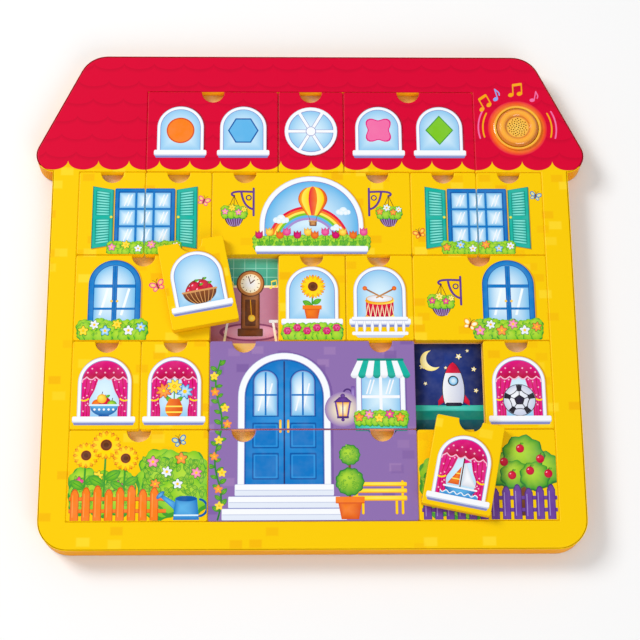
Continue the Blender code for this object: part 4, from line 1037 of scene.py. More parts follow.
@motif
def shutter(p, side):
    """Open shutter, narrower and lower at its outer edge, with slats and a round knob."""
    width, height, drop = 14.6, 41.0, 2.6

    def across(share, level):
        """A point of the leaning board, by its shares of the width and of the height."""
        return side * width * share, (height + 2 * drop * share) * level - drop * share

    def sheet(a, b, low, high, rim, middle=None, shift=(0, 0)):
        """A part of the board, between two shares of its width and two of its height."""
        corners = [across(a, low), across(b, low), across(b, high), across(a, high)]
        p.patch(np.array(corners) + shift, rim, middle)

    sheet(0, 1, 0, 1, "c79200", shift=(0.5, -0.6))
    sheet(0, 1, 0, 1, "sea")
    sheet(0.05, 0.95, 0.008, 0.992, "teal")
    for low in (0.06, 0.53):
        sheet(0.17, 0.83, low, low + 0.41, "sea")
        for k in range(9):
            level = low + 0.41 * (k + 0.15) / 9
            sheet(0.2, 0.8, level, level + 0.41 * 0.075, "3fcabb", "8fe6da")
    p.disc(*across(0.1, 0.5), 1.3, "sea", count=16)
    p.disc(*across(0.1, 0.505), 1.0, "lime", "sun", count=16)


@motif
def pane_window(p):
    """Blue frame round nine squares of glass, each with a pale middle and two slanting lights."""
    width, height = 41.5, 43.5
    half = width / 2
    p.box(0.5 - half, -0.8, width, height, 1.0, "c79200")
    for inset, radius, ink in ((0, 1.0, "deep"), (0.7, 0.8, "blue"), (2.3, 0.5, "deep")):
        p.box(inset - half, inset, width - 2 * inset, height - 2 * inset, radius, ink)
    cell = np.array([width - 5, height - 5]) / 3
    wide, tall = cell - 1.5
    for column in range(3):
        for row in range(3):
            x, y = cell * (column, row) + (3.25 - half, 3.25)
            p.box(x, y, wide, tall, 0.4, "74bdea", "e4f6ff")
            for start in (x + wide * 0.3, x + wide * 0.52):
                p.bar(start, y + tall * 0.12, start + wide * 0.3, y + tall * 0.88, 0.7, "white", count=2)
    for x in (2.5 - half + k * cell[0] for k in (1, 2)):
        p.bar(x, 2.5, x, height - 2.5, 1.3, "blue")
    for y in (2.5 + k * cell[1] for k in (1, 2)):
        p.bar(2.5 - half, y, half - 2.5, y, 1.3, "blue")


def fence(p, x0, x1, ink, dark, light):
    """Pointed pickets in front of two rails."""
    y, height, pitch = -245.4, 21, 7.4
    for level in (y + height * 0.24, y + height * 0.62):
        p.box(x0, level, x1 - x0, height * 0.12, 0.3, dark)
        p.box(x0, level + 0.4, x1 - x0, height * 0.12 - 0.5, 0.3, ink)
    picket = np.array([(-1, 0), (1, 0), (1, 0.84), (0.5, 0.97), (0, 1), (-0.5, 0.97), (-1, 0.84)])
    for k in range(int((x1 - x0) / pitch)):
        x, wide, tall = x0 + (k + 0.5) * pitch, pitch * 0.36, height * (1 + 0.06 * (k % 3))
        p.patch(picket * (wide, tall) + (x, y), dark)
        p.patch(picket * (wide * 0.86, tall * 0.965) + (x, y), ink)
        p.bar(x - wide * 0.45, y + tall * 0.1, x - wide * 0.45, y + tall * 0.8, 0.5, light, count=2)


@motif
def wall_lamp(p):
    """Lamp on a bracket: a lit glass that narrows downwards, under a cap and over a foot, with its glow."""
    p.band(bend((0, 9.5), (0.5, 15.5), (6, 15), (6.5, 10)), 1.2, "plum")
    p.box(5.6, 4, 2.6, 12, 0.8, "purple", "violet")
    size = 11.5
    p.fill(oval(0, 0, size * 1.05), "9577b6", "fff3c8", rings=8)
    glass = np.array([(-0.42, 0.42), (-0.28, -0.42), (0.28, -0.42), (0.42, 0.42)]) * size
    p.patch(glass, "gold", "fffbd0")
    for a, b in ((0, 1), (3, 2)):
        p.stick(*glass[a], *glass[b], size * 0.1, "purple")
    p.stick(0, -size * 0.42, 0, size * 0.42, size * 0.06, "purple")
    p.patch(np.array([(-0.55, 0.42), (0.55, 0.42), (0.2, 0.74), (-0.2, 0.74)]) * size, "plum", "purple")
    p.disc(0, size * 0.8, size * 0.14, "plum", "purple", count=14)
    p.box(-size * 0.34, -size * 0.54, size * 0.68, size * 0.13, 0.3, "plum")
    p.disc(0, -size * 0.62, size * 0.1, "plum", "purple", count=12)


@motif
def note(p, size, ink, turn, double=False):
    """Music note: a leaning oval head, a stem, and a flag or a beam to a second note."""

    def at(path):
        """A path in sizes of the note, turned with it."""
        return turned(path * size, turn)

    for x, y in ((0, 0), (0.62, 0.1))[:1 + double]:
        p.disc(*at(np.array([(x, y)]))[0], size * 0.2, ink, up=size * 0.15, turn=20 + turn)
        p.band(at(line((x + 0.16, y), (x + 0.16, y + 0.8), count=3)), size * 0.09, ink)
    if double:
        p.band(at(line((0.16, 0.76), (0.78, 0.86), count=3)), size * 0.2, ink, caps=False)
    else:
        p.band(at(bend((0.16, 0.8), (0.3, 0.55), (0.45, 0.5), (0.36, 0.25), count=8)), size * 0.1, ink)


@motif
def roof_window(p, outline, ink, dark):
    """Arched window with a plain shape in it, which has an edge of a darker tone, over a ledge."""
    arched_window(p, 0, 16.4, 32.6, 33.5, 2.6, "a80028")
    middle = outline[:-1].mean(0)
    p.fill(outline, dark)
    p.fill(middle + (outline - middle) * 0.9, ink)
    sill(p, 0, 16.6, 36.6)


@motif
def round_window(p, radius):
    """White ring round six panes, with a small boss where the bars meet."""
    p.disc(0.4, -0.7, radius + 0.4, "a80028")
    for inset, ink in ((0, "shade"), (0.3, "white"), (2.6, "lilac")):
        p.disc(0, 0, radius - inset, ink)
    p.disc(0, 0, radius - 3.1, "glass", "pane")
    for inset, width, ink in ((2.7, 2.7, "lilac"), (2.2, 2.1, "white")):
        for turn in (0, 60, 120):
            p.band(turned(line((inset - radius, 0), (radius - inset, 0)), turn), width, ink, caps=False)
    p.disc(0, 0, 3.6, "lilac")
    p.disc(0, 0, 3.2, "white")


@motif
def balloon(p, radius):
    """Hot-air balloon: gores between meridians that run in to the mouth, with a basket on ropes."""
    t = np.linspace(0, 1, 22)
    half = radius * np.sqrt(np.clip(1 - (1 - 2.25 * t) ** 2, 0, 1))
    half = np.where(t > 0.5, radius * (0.99 - 1.5 * np.maximum(t - 0.5, 0) ** 1.25), half)
    level = radius - t * radius * 2.25
    edges = [np.stack([half * math.sin(math.radians(a)), level], 1) for a in range(-90, 91, 36)]
    p.patch(np.concatenate([edges[0] - (0.5, 0), (edges[5] + (0.5, 0))[::-1]]), "rust")
    gores = ("orange", "gold"), ("sun", "yellow"), ("red", "orange"), ("sun", "yellow"), ("orange", "rust")
    for left, right, inks in zip(edges, edges[1:], gores):
        p.between(left, right, *inks)
    foot = -radius * 1.25
    for side in (-1, 1):
        p.bar(side * radius * 0.32, foot, side * radius * 0.2, foot - radius * 0.42, 0.4, "brown", count=2)
    p.box(-radius * 0.26, foot - radius * 0.82, radius * 0.52, radius * 0.42, 0.8, "umber")
    p.box(-radius * 0.22, foot - radius * 0.78, radius * 0.44, radius * 0.33, 0.6, "brown", "tan")
    p.stick(-radius * 0.27, foot - radius * 0.44, radius * 0.27, foot - radius * 0.44, 0.9, "tan")


@motif
def cloud(p, size):
    """Five white puffs."""
    for x, y, radius in ((-0.7, 0, 0.42), (0.7, -0.02, 0.4), (0, 0.22, 0.6), (-0.3, -0.12, 0.4),
                         (0.34, -0.12, 0.38)):
        p.disc(x * size, y * size, radius * size, "pane", "white", count=20)


@motif
def basket_bowl(p, width, height, ink="brown", light="tan"):
    """Woven bowl: half an ellipse with slanting strands."""
    t = np.linspace(np.pi, 2 * np.pi, 24)
    curve = np.stack([width / 2 * np.cos(t), height * np.sin(t)], 1)
    p.between(curve, curve * (1, 0), "umber", ink)
    for k in range(-3, 4):
        p.band(bend((k * width * 0.14, 0), (k * width * 0.12, -height * 0.6),
                    ((k + 0.6) * width * 0.07, -height * 0.93), count=6), 0.5, light, caps=False)
    p.stick(-width / 2, 0, width / 2, 0, 1.3, light, count=3)


@motif
def hanging_basket(p, side, seed, first, second):
    """Wall bar with an arm, a brace and a scroll, and a basket of flowers on three cords."""
    wall = -side * 13.5
    for width, ink in ((1.5, "plum"), (0.7, "purple")):
        p.stick(wall, -1.5, wall, 18.5, width, ink, count=3)
        p.band(bend((wall, 16), (-side * 6, 16.2), (side * 3.5, 17.5), (side * 3, 13.5), (0, 13)), width, ink)
        p.band(bend((wall, 3), (wall + side * 7, 4.5), (wall + side * 8.5, 15.6)), width, ink)
    p.ring(wall + side * 3.4, 11.6, 1.7, 0.8, "plum")
    for lean in (-6, 0, 6):
        p.stick(0, 13, lean, -1, 0.4, "umber")
    basket_bowl(p, 0, -1.5, 13.5, 8.5, "purple", "violet")
    bush(p, -8.6, 8.6, -3, 5.5, seed, [(0.14, 0.5, 2.0, first), (0.42, 0.85, 2.2, second),
                                       (0.68, 0.45, 2.0, first), (0.9, 0.7, 1.8, second)])


@motif
def wide_window(p):
    """Half-round window with a balloon over a rainbow and clouds."""
    p.arch(0.7, -0.4, 73.0, 50.6, "dfa400", rise=37.0)
    for width, height, rise, ink in ((71.6, 49.8, 36.0, "shade"), (70.9, 49.4, 35.6, "white"),
                                     (65.0, 46.2, 32.8, "lilac")):
        p.arch(0, 0, width, height, ink, rise=rise)
    p.arch(0, 0, 64.0, 45.6, "sky", "pane", (0, 17), 32.3, 5)
    for k, ink in enumerate(("red", "orange", "sun", "leaf", "sky", "violet")):
        p.ring(-2, -1, 27.5 - k * 1.7, 1.75, ink, 8, 172, 36)
    for x, y, size in ((-21, 17, 5.0), (22, 23, 4.6), (17, 11, 3.6)):
        cloud(p, x, y, size)
    balloon(p, 1, 32.5, 9.6)


@motif
def tulip_box(p):
    """Row of tulips over leaves, in a white box with a ledge."""
    bush(p, -40, 40, 0, 9.5, 5)
    for k in range(12):
        inks = (("magenta", "crimson"), ("sun", "gold"), ("orange", "rust"), ("pink", "magenta"))[k % 4]
        tulip(p, k * 6.4 - 35.4, 1.0, 8.6 + 2.2 * (k % 2), (k % 3 - 1) * 0.8, *inks)
    sill(p, 0, 1.4, 77.5, 4.6)


@motif
def shutter_window(p, seed, first, second):
    """Nine panes between open shutters, with a low flower bed on the ledge."""
    pane_window(p, 0, 0)
    for side in (-1, 1):
        shutter(p, side * 21.6, 1.5, side)
    bush(p, -25, 25, -4.5, 4.5, seed,
         [(0.06, 0.5, 2.3, first), (0.25, 0.7, 2.5, second), (0.42, 0.4, 2.2, "white"),
          (0.6, 0.72, 2.5, first), (0.78, 0.42, 2.3, second), (0.94, 0.62, 2.3, "white")])


@motif
def blue_window(p, seed, first, second):
    """Arched blue window of two leaves over a flower bed."""
    p.arch(0.7, -0.6, 36.6, 51.4, "dfa400")
    p.arch(0, 0, 35.6, 50.6, "deep")
    p.arch(0, 0, 34.2, 49.9, "blue", "3aa0e0", rings=2)
    p.arch(0, 0, 28.6, 47.2, "deep")
    p.arch(0, 0, 27.6, 46.7, "74bdea", "e9f8ff", (-4, 28), rings=5)
    for x in (-9.6, 4.8):
        p.bar(x, 11, x + 5, 30, 1.6, "f4fcff", count=2)
    for y, width in ((31.8, 2.4), (15.6, 1.6)):
        p.bar(-13.8, y, 13.8, y, width, "blue")
    for width, ink in ((3.4, "deep"), (2.6, "blue"), (0.4, "deep")):
        p.bar(0, 0, 0, 46.4, width, ink)
    for x in (-1.9, 1.9):
        p.disc(x, 21, 0.9, "gold", "sun", count=12)
    bush(p, -24, 22, -5.5, 8, seed,
         [(0.08, 0.4, 2.9, first), (0.24, 0.72, 2.7, "white"), (0.4, 0.4, 3.0, second),
          (0.57, 0.74, 2.8, first), (0.74, 0.42, 2.9, "white"), (0.92, 0.6, 2.8, second)])


@motif
def sunflower_head(p, radius):
    """Two rounds of twelve petals behind a dark middle."""
    for turn, rim, light in ((0, "rust", "gold"), (15, "gold", "yellow")):
        p.disc(0, 0, radius, rim, light, turn=turn, waves=12, depth=0.2, count=96)
        p.disc(0, 0, radius * 0.93, light, "yellow", turn=turn, waves=12, depth=0.2, count=96)
    p.disc(0, 0, radius * 0.48, "rust", count=24)
    p.disc(0, 0, radius * 0.44, "umber", "brown", count=24)
    p.disc(0, 0, radius * 0.22, "umber", count=18)


@motif
def potted_sunflower(p):
    """Sunflower with two leaves in a pot."""
    stem(p, 0, 8, 14, 0.6, 1.0)
    leaf(p, 0.1, 11, 7, 28)
    leaf(p, 0, 9.5, 7.4, 150)
    sunflower_head(p, 0.6, 23.5, 7.2)
    pot(p, 0, 0, 13, 10)


@motif
def toy_drum(p):
    """Drum: a wall between two ellipses, laced in zigzag, with two sticks."""
    t = np.linspace(-1, 1, 25)
    low = np.stack([9.4 * t, 2 - 2.4 * np.sqrt(1 - t**2)], 1)
    high = low + (0, 12.5)
    p.between(low, high, "crimson", "red")
    for curve in (low + (0, 0.6), high - (0, 0.6)):
        p.band(curve, 2.0, "gold", "sun", caps=False)
    for k in range(0, 24, 4):
        p.band(line(low[k] + (0, 1.2), high[k + 2] - (0, 1.6), low[k + 4] + (0, 1.2), count=3), 0.5, "cream")
    p.disc(0, 14.5, 9.4, "gold", up=2.9)
    p.disc(0, 14.7, 8.6, "stone", "white", up=2.4)
    for side in (-1, 1):
        p.stick(side * 10, 22, -side * 2, 15.5, 1.1, "brown", "tan", count=3)
        p.disc(side * 10, 22.2, 1.6, "rust", "orange", count=14)


@motif
def fruit_bowl(p):
    """Four fruits in a blue bowl with dots, on a foot."""
    for x, y, radius, ink, dark in ((-4.6, 8.6, 3.6, "orange", "rust"), (0.6, 9.8, 3.9, "red", "crimson"),
                                    (5.2, 8.2, 3.3, "lime", "green"), (-1.6, 12.6, 3.2, "sun", "gold")):
        p.disc(x, y, radius, dark, ink, (x - radius * 0.35, y + radius * 0.4), count=24)
        p.band(bend((x, y + radius), (x + 0.4, y + radius + 1.5), count=3), 0.45, "umber")
    leaf(p, 0.8, 13.6, 3.4, 25)
    t = np.linspace(-1, 1, 25)
    low = np.stack([9.5 * t, 8.2 - 7.4 * np.sqrt(1 - t**2)], 1)
    p.between(low, low * (1, 0) + (0, 8.2), "deep", "sky")
    p.stick(-9.6, 8.2, 9.6, 8.2, 1.2, "pane", count=12)
    p.box(-3.4, 0, 6.8, 1.8, 0.6, "deep")
    for k in range(-2, 3):
        p.disc(k * 3.1, 5.2, 0.8, "white", count=10)


@motif
def flower_vase(p):
    """Three large flowers and two leaves in an orange vase with two stripes."""
    for x, height, lean in ((-1.6, 8, -5.4), (0, 11, 0), (1.6, 7.5, 5.4)):
        stem(p, x, 9, height, lean, 0.8)
    for x, y, ink, edge in ((-7, 18, "orange", "crimson"), (7, 17.5, "sky", "deep"),
                            (0, 21, "yellow", "deep")):
        flower(p, x, y, 4.2, ink, 8, edge)
    leaf(p, -1, 10, 6, 140)
    leaf(p, 1, 10, 6, 40)
    t = np.linspace(0, 1, 20)
    half = 2.8 + 3.0 * np.sin(np.pi * t**0.8) + 0.6 * t**6
    left, right = (np.stack([side * half, t * 12.5], 1) for side in (-1, 1))
    p.between(left, right, "orange", "rust", 4)
    for k in (5, 11):
        p.bar(*left[k], *right[k], 1.0, "sun", count=3)


@motif
def sail_boat(p):
    """Boat with two sails and a pennant, on a strip of waves."""
    p.stick(0, 6, 0, 26, 0.8, "umber", count=3)
    p.patch([(1, 8), (10.4, 8), (1, 24.5)], "stone", "white")
    p.patch([(-1, 8), (-8.6, 8), (-1, 20.5)], "rust", "orange")
    for k in (0.3, 0.6):
        p.bar(7.6 * k - 8.6, 8 + 12.5 * k, -1, 8 + 12.5 * k, 0.7, "sun", count=2)
    p.patch([(0.4, 26), (0.4, 22.8), (5, 24.4)], "magenta")
    p.patch([(-11, 6.8), (-7.4, 1.2), (7.4, 1.2), (11.4, 6.8)], "deep", "sky")
    p.stick(-10.6, 6.2, 11, 6.2, 1.2, "white", count=3)
    across = np.linspace(-12.6, 12.6, 40)
    crest = np.stack([across, 2.4 + 0.8 * np.sin(across * 1.3)], 1)
    p.between(crest * (1, 0), crest, "blue", "sky")
    p.band(crest, 0.6, "white", caps=False)


@motif
def football(p, radius=10.6):
    """White ball with a dark five-sided patch in the middle and five cut off by its edge."""
    p.origin = p.origin + (0, 11.2)

    def spot(share, step):
        """A point at a share of the radius, so many fifths of a turn from straight up."""
        return turned([(0, radius * share)], 72 * step)[0]

    p.disc(0, 0, radius * 1.04, "black")
    p.disc(0, 0, radius, "shade", "white", (-radius * 0.3, radius * 0.3))
    p.disc(0, 0, radius * 0.36, "black", "ink", turn=18, count=5)
    for k in range(5):
        middle = spot(0.86, k)
        p.stick(*spot(0.34, k), *middle, 0.5, "black")
        shape = turned(oval(0, 0, radius * 0.36, radius * 0.2, count=5), 72 * k + 90) + middle
        p.fill(shape * np.minimum(1, radius * 0.99 / np.linalg.norm(shape, axis=1, keepdims=True)), "black")
        p.band(bend(spot(0.7, k + 0.12), spot(0.5, k + 0.5), spot(0.7, k + 0.88), count=6), 0.5, "black")


@motif
def apple(p, radius):
    """Red apple with a stalk, a leaf and a light."""
    p.disc(0, 0, radius, "crimson", "red", (-radius * 0.3, radius * 0.3),
           up=radius * 0.95, waves=2, depth=-0.05)
    p.band(bend((0, radius * 0.8), (radius * 0.1, radius * 1.2), (radius * 0.3, radius * 1.35), count=5),
           radius * 0.14, "umber")
    leaf(p, radius * 0.15, radius, radius * 0.8, 20)
    p.disc(-radius * 0.4, radius * 0.35, radius * 0.2, "blush", up=radius * 0.13, turn=40, count=12)


@motif
def apple_basket(p):
    """Five apples in a basket with a handle."""
    p.ring(0, 8, 9.2, 1.1, "brown", 5, 175)
    for x, y in ((-6, 10), (6, 10), (-2.6, 12.8), (3.0, 13.4), (0, 9.6)):
        apple(p, x, y, 3.7)
    basket_bowl(p, 0, 9.6, 23, 9.4)


@motif
def balcony(p):
    """White railing: round posts between a hand rail and a floor slab that steps in below."""
    swell = np.array([1, 1.2, 1.8, 2.2, 1.8, 1.2, 1.0])
    for k in range(-3, 4):
        for width, ink in ((1.1, "shade"), (0.8, "white")):
            p.bar(k * 5.32, 1, k * 5.32, 12, swell * width, ink, count=6)
    p.box(-19, 10.4, 38, 3.0, 1.0, "shade")
    p.box(-19, 11.2, 38, 2.2, 1.0, "white")
    p.patch([(-18, 1.6), (-15, -1.4), (15, -1.4), (18, 1.6)], "shade")
    p.box(-19, 0.4, 38, 2.4, 1.0, "white")


@motif
def topiary(p):
    """Two clipped balls on a stem in a pot."""
    p.stick(0, 12, 0, 44, 1.6, "umber", "brown", count=3)
    for level, radius, seed in ((25, 9.4, 2), (43, 7.0, 3)):
        rng = np.random.default_rng(seed)
        p.disc(0, level, radius, "moss", waves=11, depth=0.05)
        p.disc(0, level, radius * 0.93, "green", "lime", (-radius * 0.3, level + radius * 0.35),
               waves=11, depth=0.05)
        for _ in range(int(radius * 3)):
            reach, at = radius * 0.8 * rng.uniform(0, 1) ** 0.5, rng.uniform(0, 360)
            spot = turned([(reach, 0)], at)[0] + (0, level)
            leaf(p, *spot, 2.2, rng.uniform(0, 360), "lime", "green")
    pot(p, 0, 0, 19, 15)


@motif
def front_door(p):
    """Double door under an arch: each leaf has a tall pane, two panels and a handle, over three steps."""
    p.arch(1.0, 0, 63.0, 91.0, "7a5aa0")
    for width, height, ink in ((61.6, 90.4, "shade"), (60.8, 90.0, "white"), (53.0, 86.0, "lilac"),
                               (52.0, 85.5, "deep")):
        p.arch(0, 0, width, height, ink)
    p.arch(0, 0, 50.6, 84.8, "blue", "2a8fd8", (-6, 52))
    for side in (-1, 1):
        middle = side * 12.4
        p.arch(middle, 46, 17.6, 32.6, "deep")
        p.arch(middle, 46.8, 15.6, 31, "lilac")
        p.arch(middle, 46.8, 14.8, 30.5, "74bdea", "f0fbff", (middle - 2, 62))
        for x in (middle - 4.8, middle - 0.2):
            p.bar(x, 50, x + 4.6, 69, 1.0, "white", count=2)
        p.bar(middle, 47, middle, 76.8, 1.2, "blue")
        p.bar(middle - 7.6, 61, middle + 7.6, 61, 1.2, "blue")
        for low, tall in ((3.5, 18), (24.5, 17.5)):
            p.box(middle - 8.8, low, 17.6, tall, 0.8, "deep")
            p.box(middle - 7.8, low + 1.0, 15.8, tall - 2.2, 0.6, "2a8fd8")
            p.box(middle - 6.8, low + 2.0, 13.6, tall - 4.0, 0.6, "blue")
        p.box(side * 2.6 - 0.8, 35, 1.6, 9.0, 0.8, "gold", "sun")
    p.bar(0, 0.5, 0, 84.4, 1.0, "navy")
    for k in range(3):
        half, low = 32.5 + 4.2 * k, -7.8 - 8.1 * k
        p.box(-half, low, half * 2, 8.2, 0.7, "lilac")
        p.box(-half, low + 0.6, half * 2, 7.5, 0.7, "cloud")
        p.box(0.3 - half, low + 4.4, half * 2 - 0.6, 3.5, 0.6, "white")
        p.bar(0.6 - half, low + 4.2, half - 0.6, low + 4.2, 0.5, "shade")


@motif
def awning_window(p):
    """Square window of four panes with a striped awning over it and a box of flowers under it."""
    p.box(-15.6, -0.8, 33, 34, 0.8, "7a5aa0")
    p.box(-16.4, 0, 32.8, 33.2, 0.8, "shade")
    p.box(-16, 0.3, 32, 32.6, 0.8, "white")
    p.box(-13.2, 3, 26.4, 27, 0.5, "lilac")
    p.box(-12.6, 3, 25.2, 26.4, 0.4, "glass", "pane", (0, 14))
    for x in (-9.5, -7.3, 3.5, 5.7):
        p.bar(x, 17, x + 3, 27, 0.9, "white", count=2)
    p.bar(0, 3, 0, 30, 2.0, "white")
    p.bar(-12.6, 15.15, 12.6, 15.15, 2.0, "white")
    top, low = (line((-half, level), (half, level), count=8) for half, level in ((15, 41), (20, 30.5)))
    t = np.linspace(0, np.pi, 10)
    for k in range(8):
        ink, dark = (("white", "stone"), ("teal", "sea"))[k % 2]
        p.between(low[k:k + 2], top[k:k + 2], ink)
        frill = (low[k] + low[k + 1]) / 2 - np.stack([2.5 * np.cos(t), 2.6 * np.sin(t)], 1)
        p.between(frill, frill * (1, 0) + (0, 30.6), dark, ink)
    p.stick(-15, 41, 15, 41, 1.6, "sea", count=12)
    p.box(-17.4, -8.4, 34.8, 7.6, 0.9, "sea")
    p.box(-16.6, -7.6, 33.2, 6.2, 0.7, "teal", "5fd8cb")
    bush(p, -17.5, 17.5, -3.6, 5.5, 9,
         [(0.08, 0.5, 2.5, "orange"), (0.27, 0.72, 2.6, "pink"), (0.46, 0.45, 2.5, "yellow"),
          (0.66, 0.74, 2.6, "magenta"), (0.86, 0.5, 2.6, "orange")])


@motif
def garden_bench(p):
    """Yellow bench: two back slats and a seat on four legs."""
    for x, height in ((-15, 21), (-11, 9), (11, 9), (15, 21)):
        p.stick(x, 0, x, height, 1.8, "gold")
        p.stick(x, 0, x, height, 1.1, "yellow")
    for level, height in ((8.2, 3.4), (13.4, 2.9), (17.8, 2.9)):
        p.box(-18, level, 36, height, 0.9, "gold")
        p.box(-17.7, level + 0.7, 35.4, height - 0.8, 0.7, "yellow", "sun")


@motif
def climbing_plant(p, height):
    """Vine up the wall: a waving stem, leaves to both sides and small blossoms."""
    rng = np.random.default_rng(4)
    t = np.linspace(0, 1, 60)
    path = np.stack([2.2 * np.sin(t * 13), t * height], 1)
    p.band(path, 1.2, "moss", "green")
    for k in range(3, 58, 2):
        side = 1 if k % 4 == 1 else -1
        leaf(p, *path[k], rng.uniform(4.4, 6.2), 90 - side * rng.uniform(35, 80), "leaf", "moss")
    for k in range(5, 58, 6):
        flower(p, *(path[k] + (rng.uniform(-4, 4), 0)), 2.5, ("pink", "yellow", "white", "orange")[k % 4], 5)


@motif
def watering_can(p):
    """Blue can with a spout, its sprinkler and a handle."""
    p.ring(8, 8, 5.6, 1.5, "deep", -80, 80)
    p.patch([(-7, 6), (-17, 15), (-15.4, 16.6), (-6, 11)], "blue", "sky")
    p.disc(-17, 16.4, 3.4, "deep", "sky", up=1.5, turn=45, count=20)
    p.patch([(-8.4, 0), (8.4, 0), (7, 14), (-7, 14)], "blue", "sky", (-3, 8))
    p.disc(0, 14, 7, "deep", up=1.8)
    p.bar(-8, 3, 8, 3, 1.0, "pane", count=2)


@motif
def sunflower(p, height, radius):
    """Sunflower on a tall stalk with two leaves."""
    stem(p, 0, 0, height, 0.8, 1.2)
    leaf(p, 0.3, height * 0.4, radius * 1.5, 30)
    leaf(p, 0.2, height * 0.3, radius * 1.5, 150)
    sunflower_head(p, 0.8, height, radius)


@motif
def apple_tree(p):
    """Round crowns on a trunk, with six apples."""
    p.bar(0, 0, 0, 28, 6.5, "umber", "brown", count=3)
    for x, y, radius in ((-13, 31, 12), (13, 31, 12), (0, 40, 14), (-6, 27, 10), (7, 26, 10)):
        p.disc(x, y, radius, "moss", waves=9, depth=0.06)
        p.disc(x, y + 0.6, radius * 0.93, "green", "lime", (x - 3, y + 4), waves=9, depth=0.06)
    for x, y in ((-13, 36), (-2, 45), (11, 38), (4, 30), (-8, 27), (16, 28)):
        apple(p, x, y, 2.9)


@motif
def tall_clock(p):
    """Longcase clock with a pendulum behind its glass."""
    p.box(-8.6, -2, 17.2, 5.6, 0.8, "umber", "brown")
    p.box(-6.4, 3, 12.8, 26, 0.8, "umber")
    p.box(-5.6, 3.6, 11.2, 24.8, 0.7, "brown", "c07a3c")
    p.box(-3.6, 5.4, 7.2, 19, 0.6, "5f3218", "7d4722")
    p.stick(0, 24, 0.8, 12, 0.6, "gold")
    p.disc(0.9, 11, 2.5, "gold", "sun", count=20)
    p.disc(0, 36, 9.6, "umber", count=40)
    p.disc(0, 36, 8.8, "c07a3c", "e3a35c", count=40)
    p.disc(0, 36, 6.8, "cream", "white", count=30)
    for k in range(12):
        inner, outer = (turned([(0, reach)], 30 * k)[0] + (0, 36) for reach in (5.2, 6.1))
        p.stick(*inner, *outer, 0.4, "umber")
    p.stick(0, 36, 2.6, 38.4, 0.8, "umber")
    p.stick(0, 36, -1.4, 41, 0.6, "umber")


@motif
def music_room(p, width, height):
    """Mauve room behind a tall clock: tiled wall, lamp and rug, under the tile that is out."""
    tiles = height - 20
    p.patch([(0, 0), (width, 0), (width, height), (0, height)], "b06a86", "c98aa0")
    p.between(line((0, tiles), (width, tiles)), line((0, height), (width, height)), "3f9d86", "57b79a")
    for k in range(7):
        p.bar(k * 7.6, tiles, k * 7.6, height, 0.5, "8fd3bf", count=2)
    for k in range(4):
        p.bar(0, tiles + k * 6.4, width, tiles + k * 6.4, 0.5, "8fd3bf")
    p.bar(0, tiles - 0.4, width, tiles - 0.4, 1.6, "cream")
    p.disc(26.8, 8, 21, "8a3f66", up=6.5)
    p.disc(26.8, 8, 18.5, "d88aa8", "e9b3c6", up=5.2)
    tall_clock(p, 26.8, 7)
    for side in (-1, 1):
        p.stick(26.8 + side * 17.5, 2, 26.8 + side * 15.5, 15, 1.6, "cream", "white")
        note(p, 26.8 + side * 14, 40, 5.5, "sun", side * 8, side > 0)
    p.box(39.4, 14.6, 10, 2.2, 0.8, "stone", "white")


@motif
def rocket(p):
    """Toy rocket: a white body with a red nose, a window and two fins."""
    for side in (-1, 1):
        p.patch([(side * 5, 11), (side * 10.6, 3), (side * 10.6, -0.4), (side * 5, 3)], "crimson", "red")
    t = np.linspace(0, 1, 24)
    half = 7.2 * np.sin(np.pi * (0.26 + 0.74 * t)) ** 0.62
    left, right = (np.stack([side * half, 1 + t * 29], 1) for side in (-1, 1))
    p.between(left - (0.5, 0), right + (0.5, 0), "black")
    p.between(left, right, "white", "shade", 4)
    p.between(left[17:], right[17:], "red", "crimson", 4)
    p.disc(0, 17, 3.6, "black", count=24)
    p.disc(0, 17, 2.8, "sky", "pane", count=24)
    p.box(-5.4, -0.6, 10.8, 2.4, 0.8, "black", "ink")


@motif
def night_room(p, width, height):
    """Dark blue room: window with moon and stars, and a toy rocket on a teal shelf."""
    p.patch([(0, 0), (width, 0), (width, height), (0, height)], "141b4d", "243a86",
            (width / 2 - 6, height - 12), 5)
    stars = ((5, 16, 1.5), (13, 7, 1.1), (30, 9, 1.6), (40, 18, 1.3), (36, 5, 0.9), (7, 28, 1.0),
             (41, 33, 1.2), (21, 17, 0.9))
    for k, (x, down, size) in enumerate(stars):
        p.disc(x, height - down, size, "sun", "white", turn=18 + 20 * k, waves=5, depth=0.42, count=20)
    p.disc(11, height - 12, 7.2, "ffe98a", "fff8cf", count=32)
    p.disc(14.2, height - 10.4, 6.3, "1f3178", count=32)
    p.box(0, 8, width, 9, 0.2, "sea")
    p.box(0, 14, width, 4, 0.2, "teal", "5fd8cb")
    p.between(line((0, 0), (width, 0)), line((0, 8), (width, 8)), "0b3f52", "0f5f6d")
    rocket(p, width / 2 + 3, 18)


@motif
def button_surround(p):
    """Orange disc printed round the button, sound arcs to both sides and notes over it."""
    halo = bpy.context.scene.sound_button.halo_radius / MM
    t = np.linspace(0, 2 * np.pi, 73)
    circle = np.stack([np.cos(t), np.sin(t)], 1)
    p.between(circle * (halo - 1.4), circle * halo, "ef4a20", "e3103a")
    p.between(circle * 15.6, circle * (halo - 1.4), "f99a1c", "ef4a20")
    for radius, ink in ((24.4, "gold"), (27.6, "pink")):
        for start in (152, -16):
            p.ring(0, 0, radius, 1.1, ink, start, start + 44, 14)
    note(p, -24.5, 14.5, 10.0, "gold", 26, True)
    note(p, -14.5, 22.5, 9.5, "8fa6ea", 14)
    note(p, -3.5, 25.8, 10.0, "gold", 0, True)
    note(p, 11.5, 21.8, 9.0, "pink", -12)


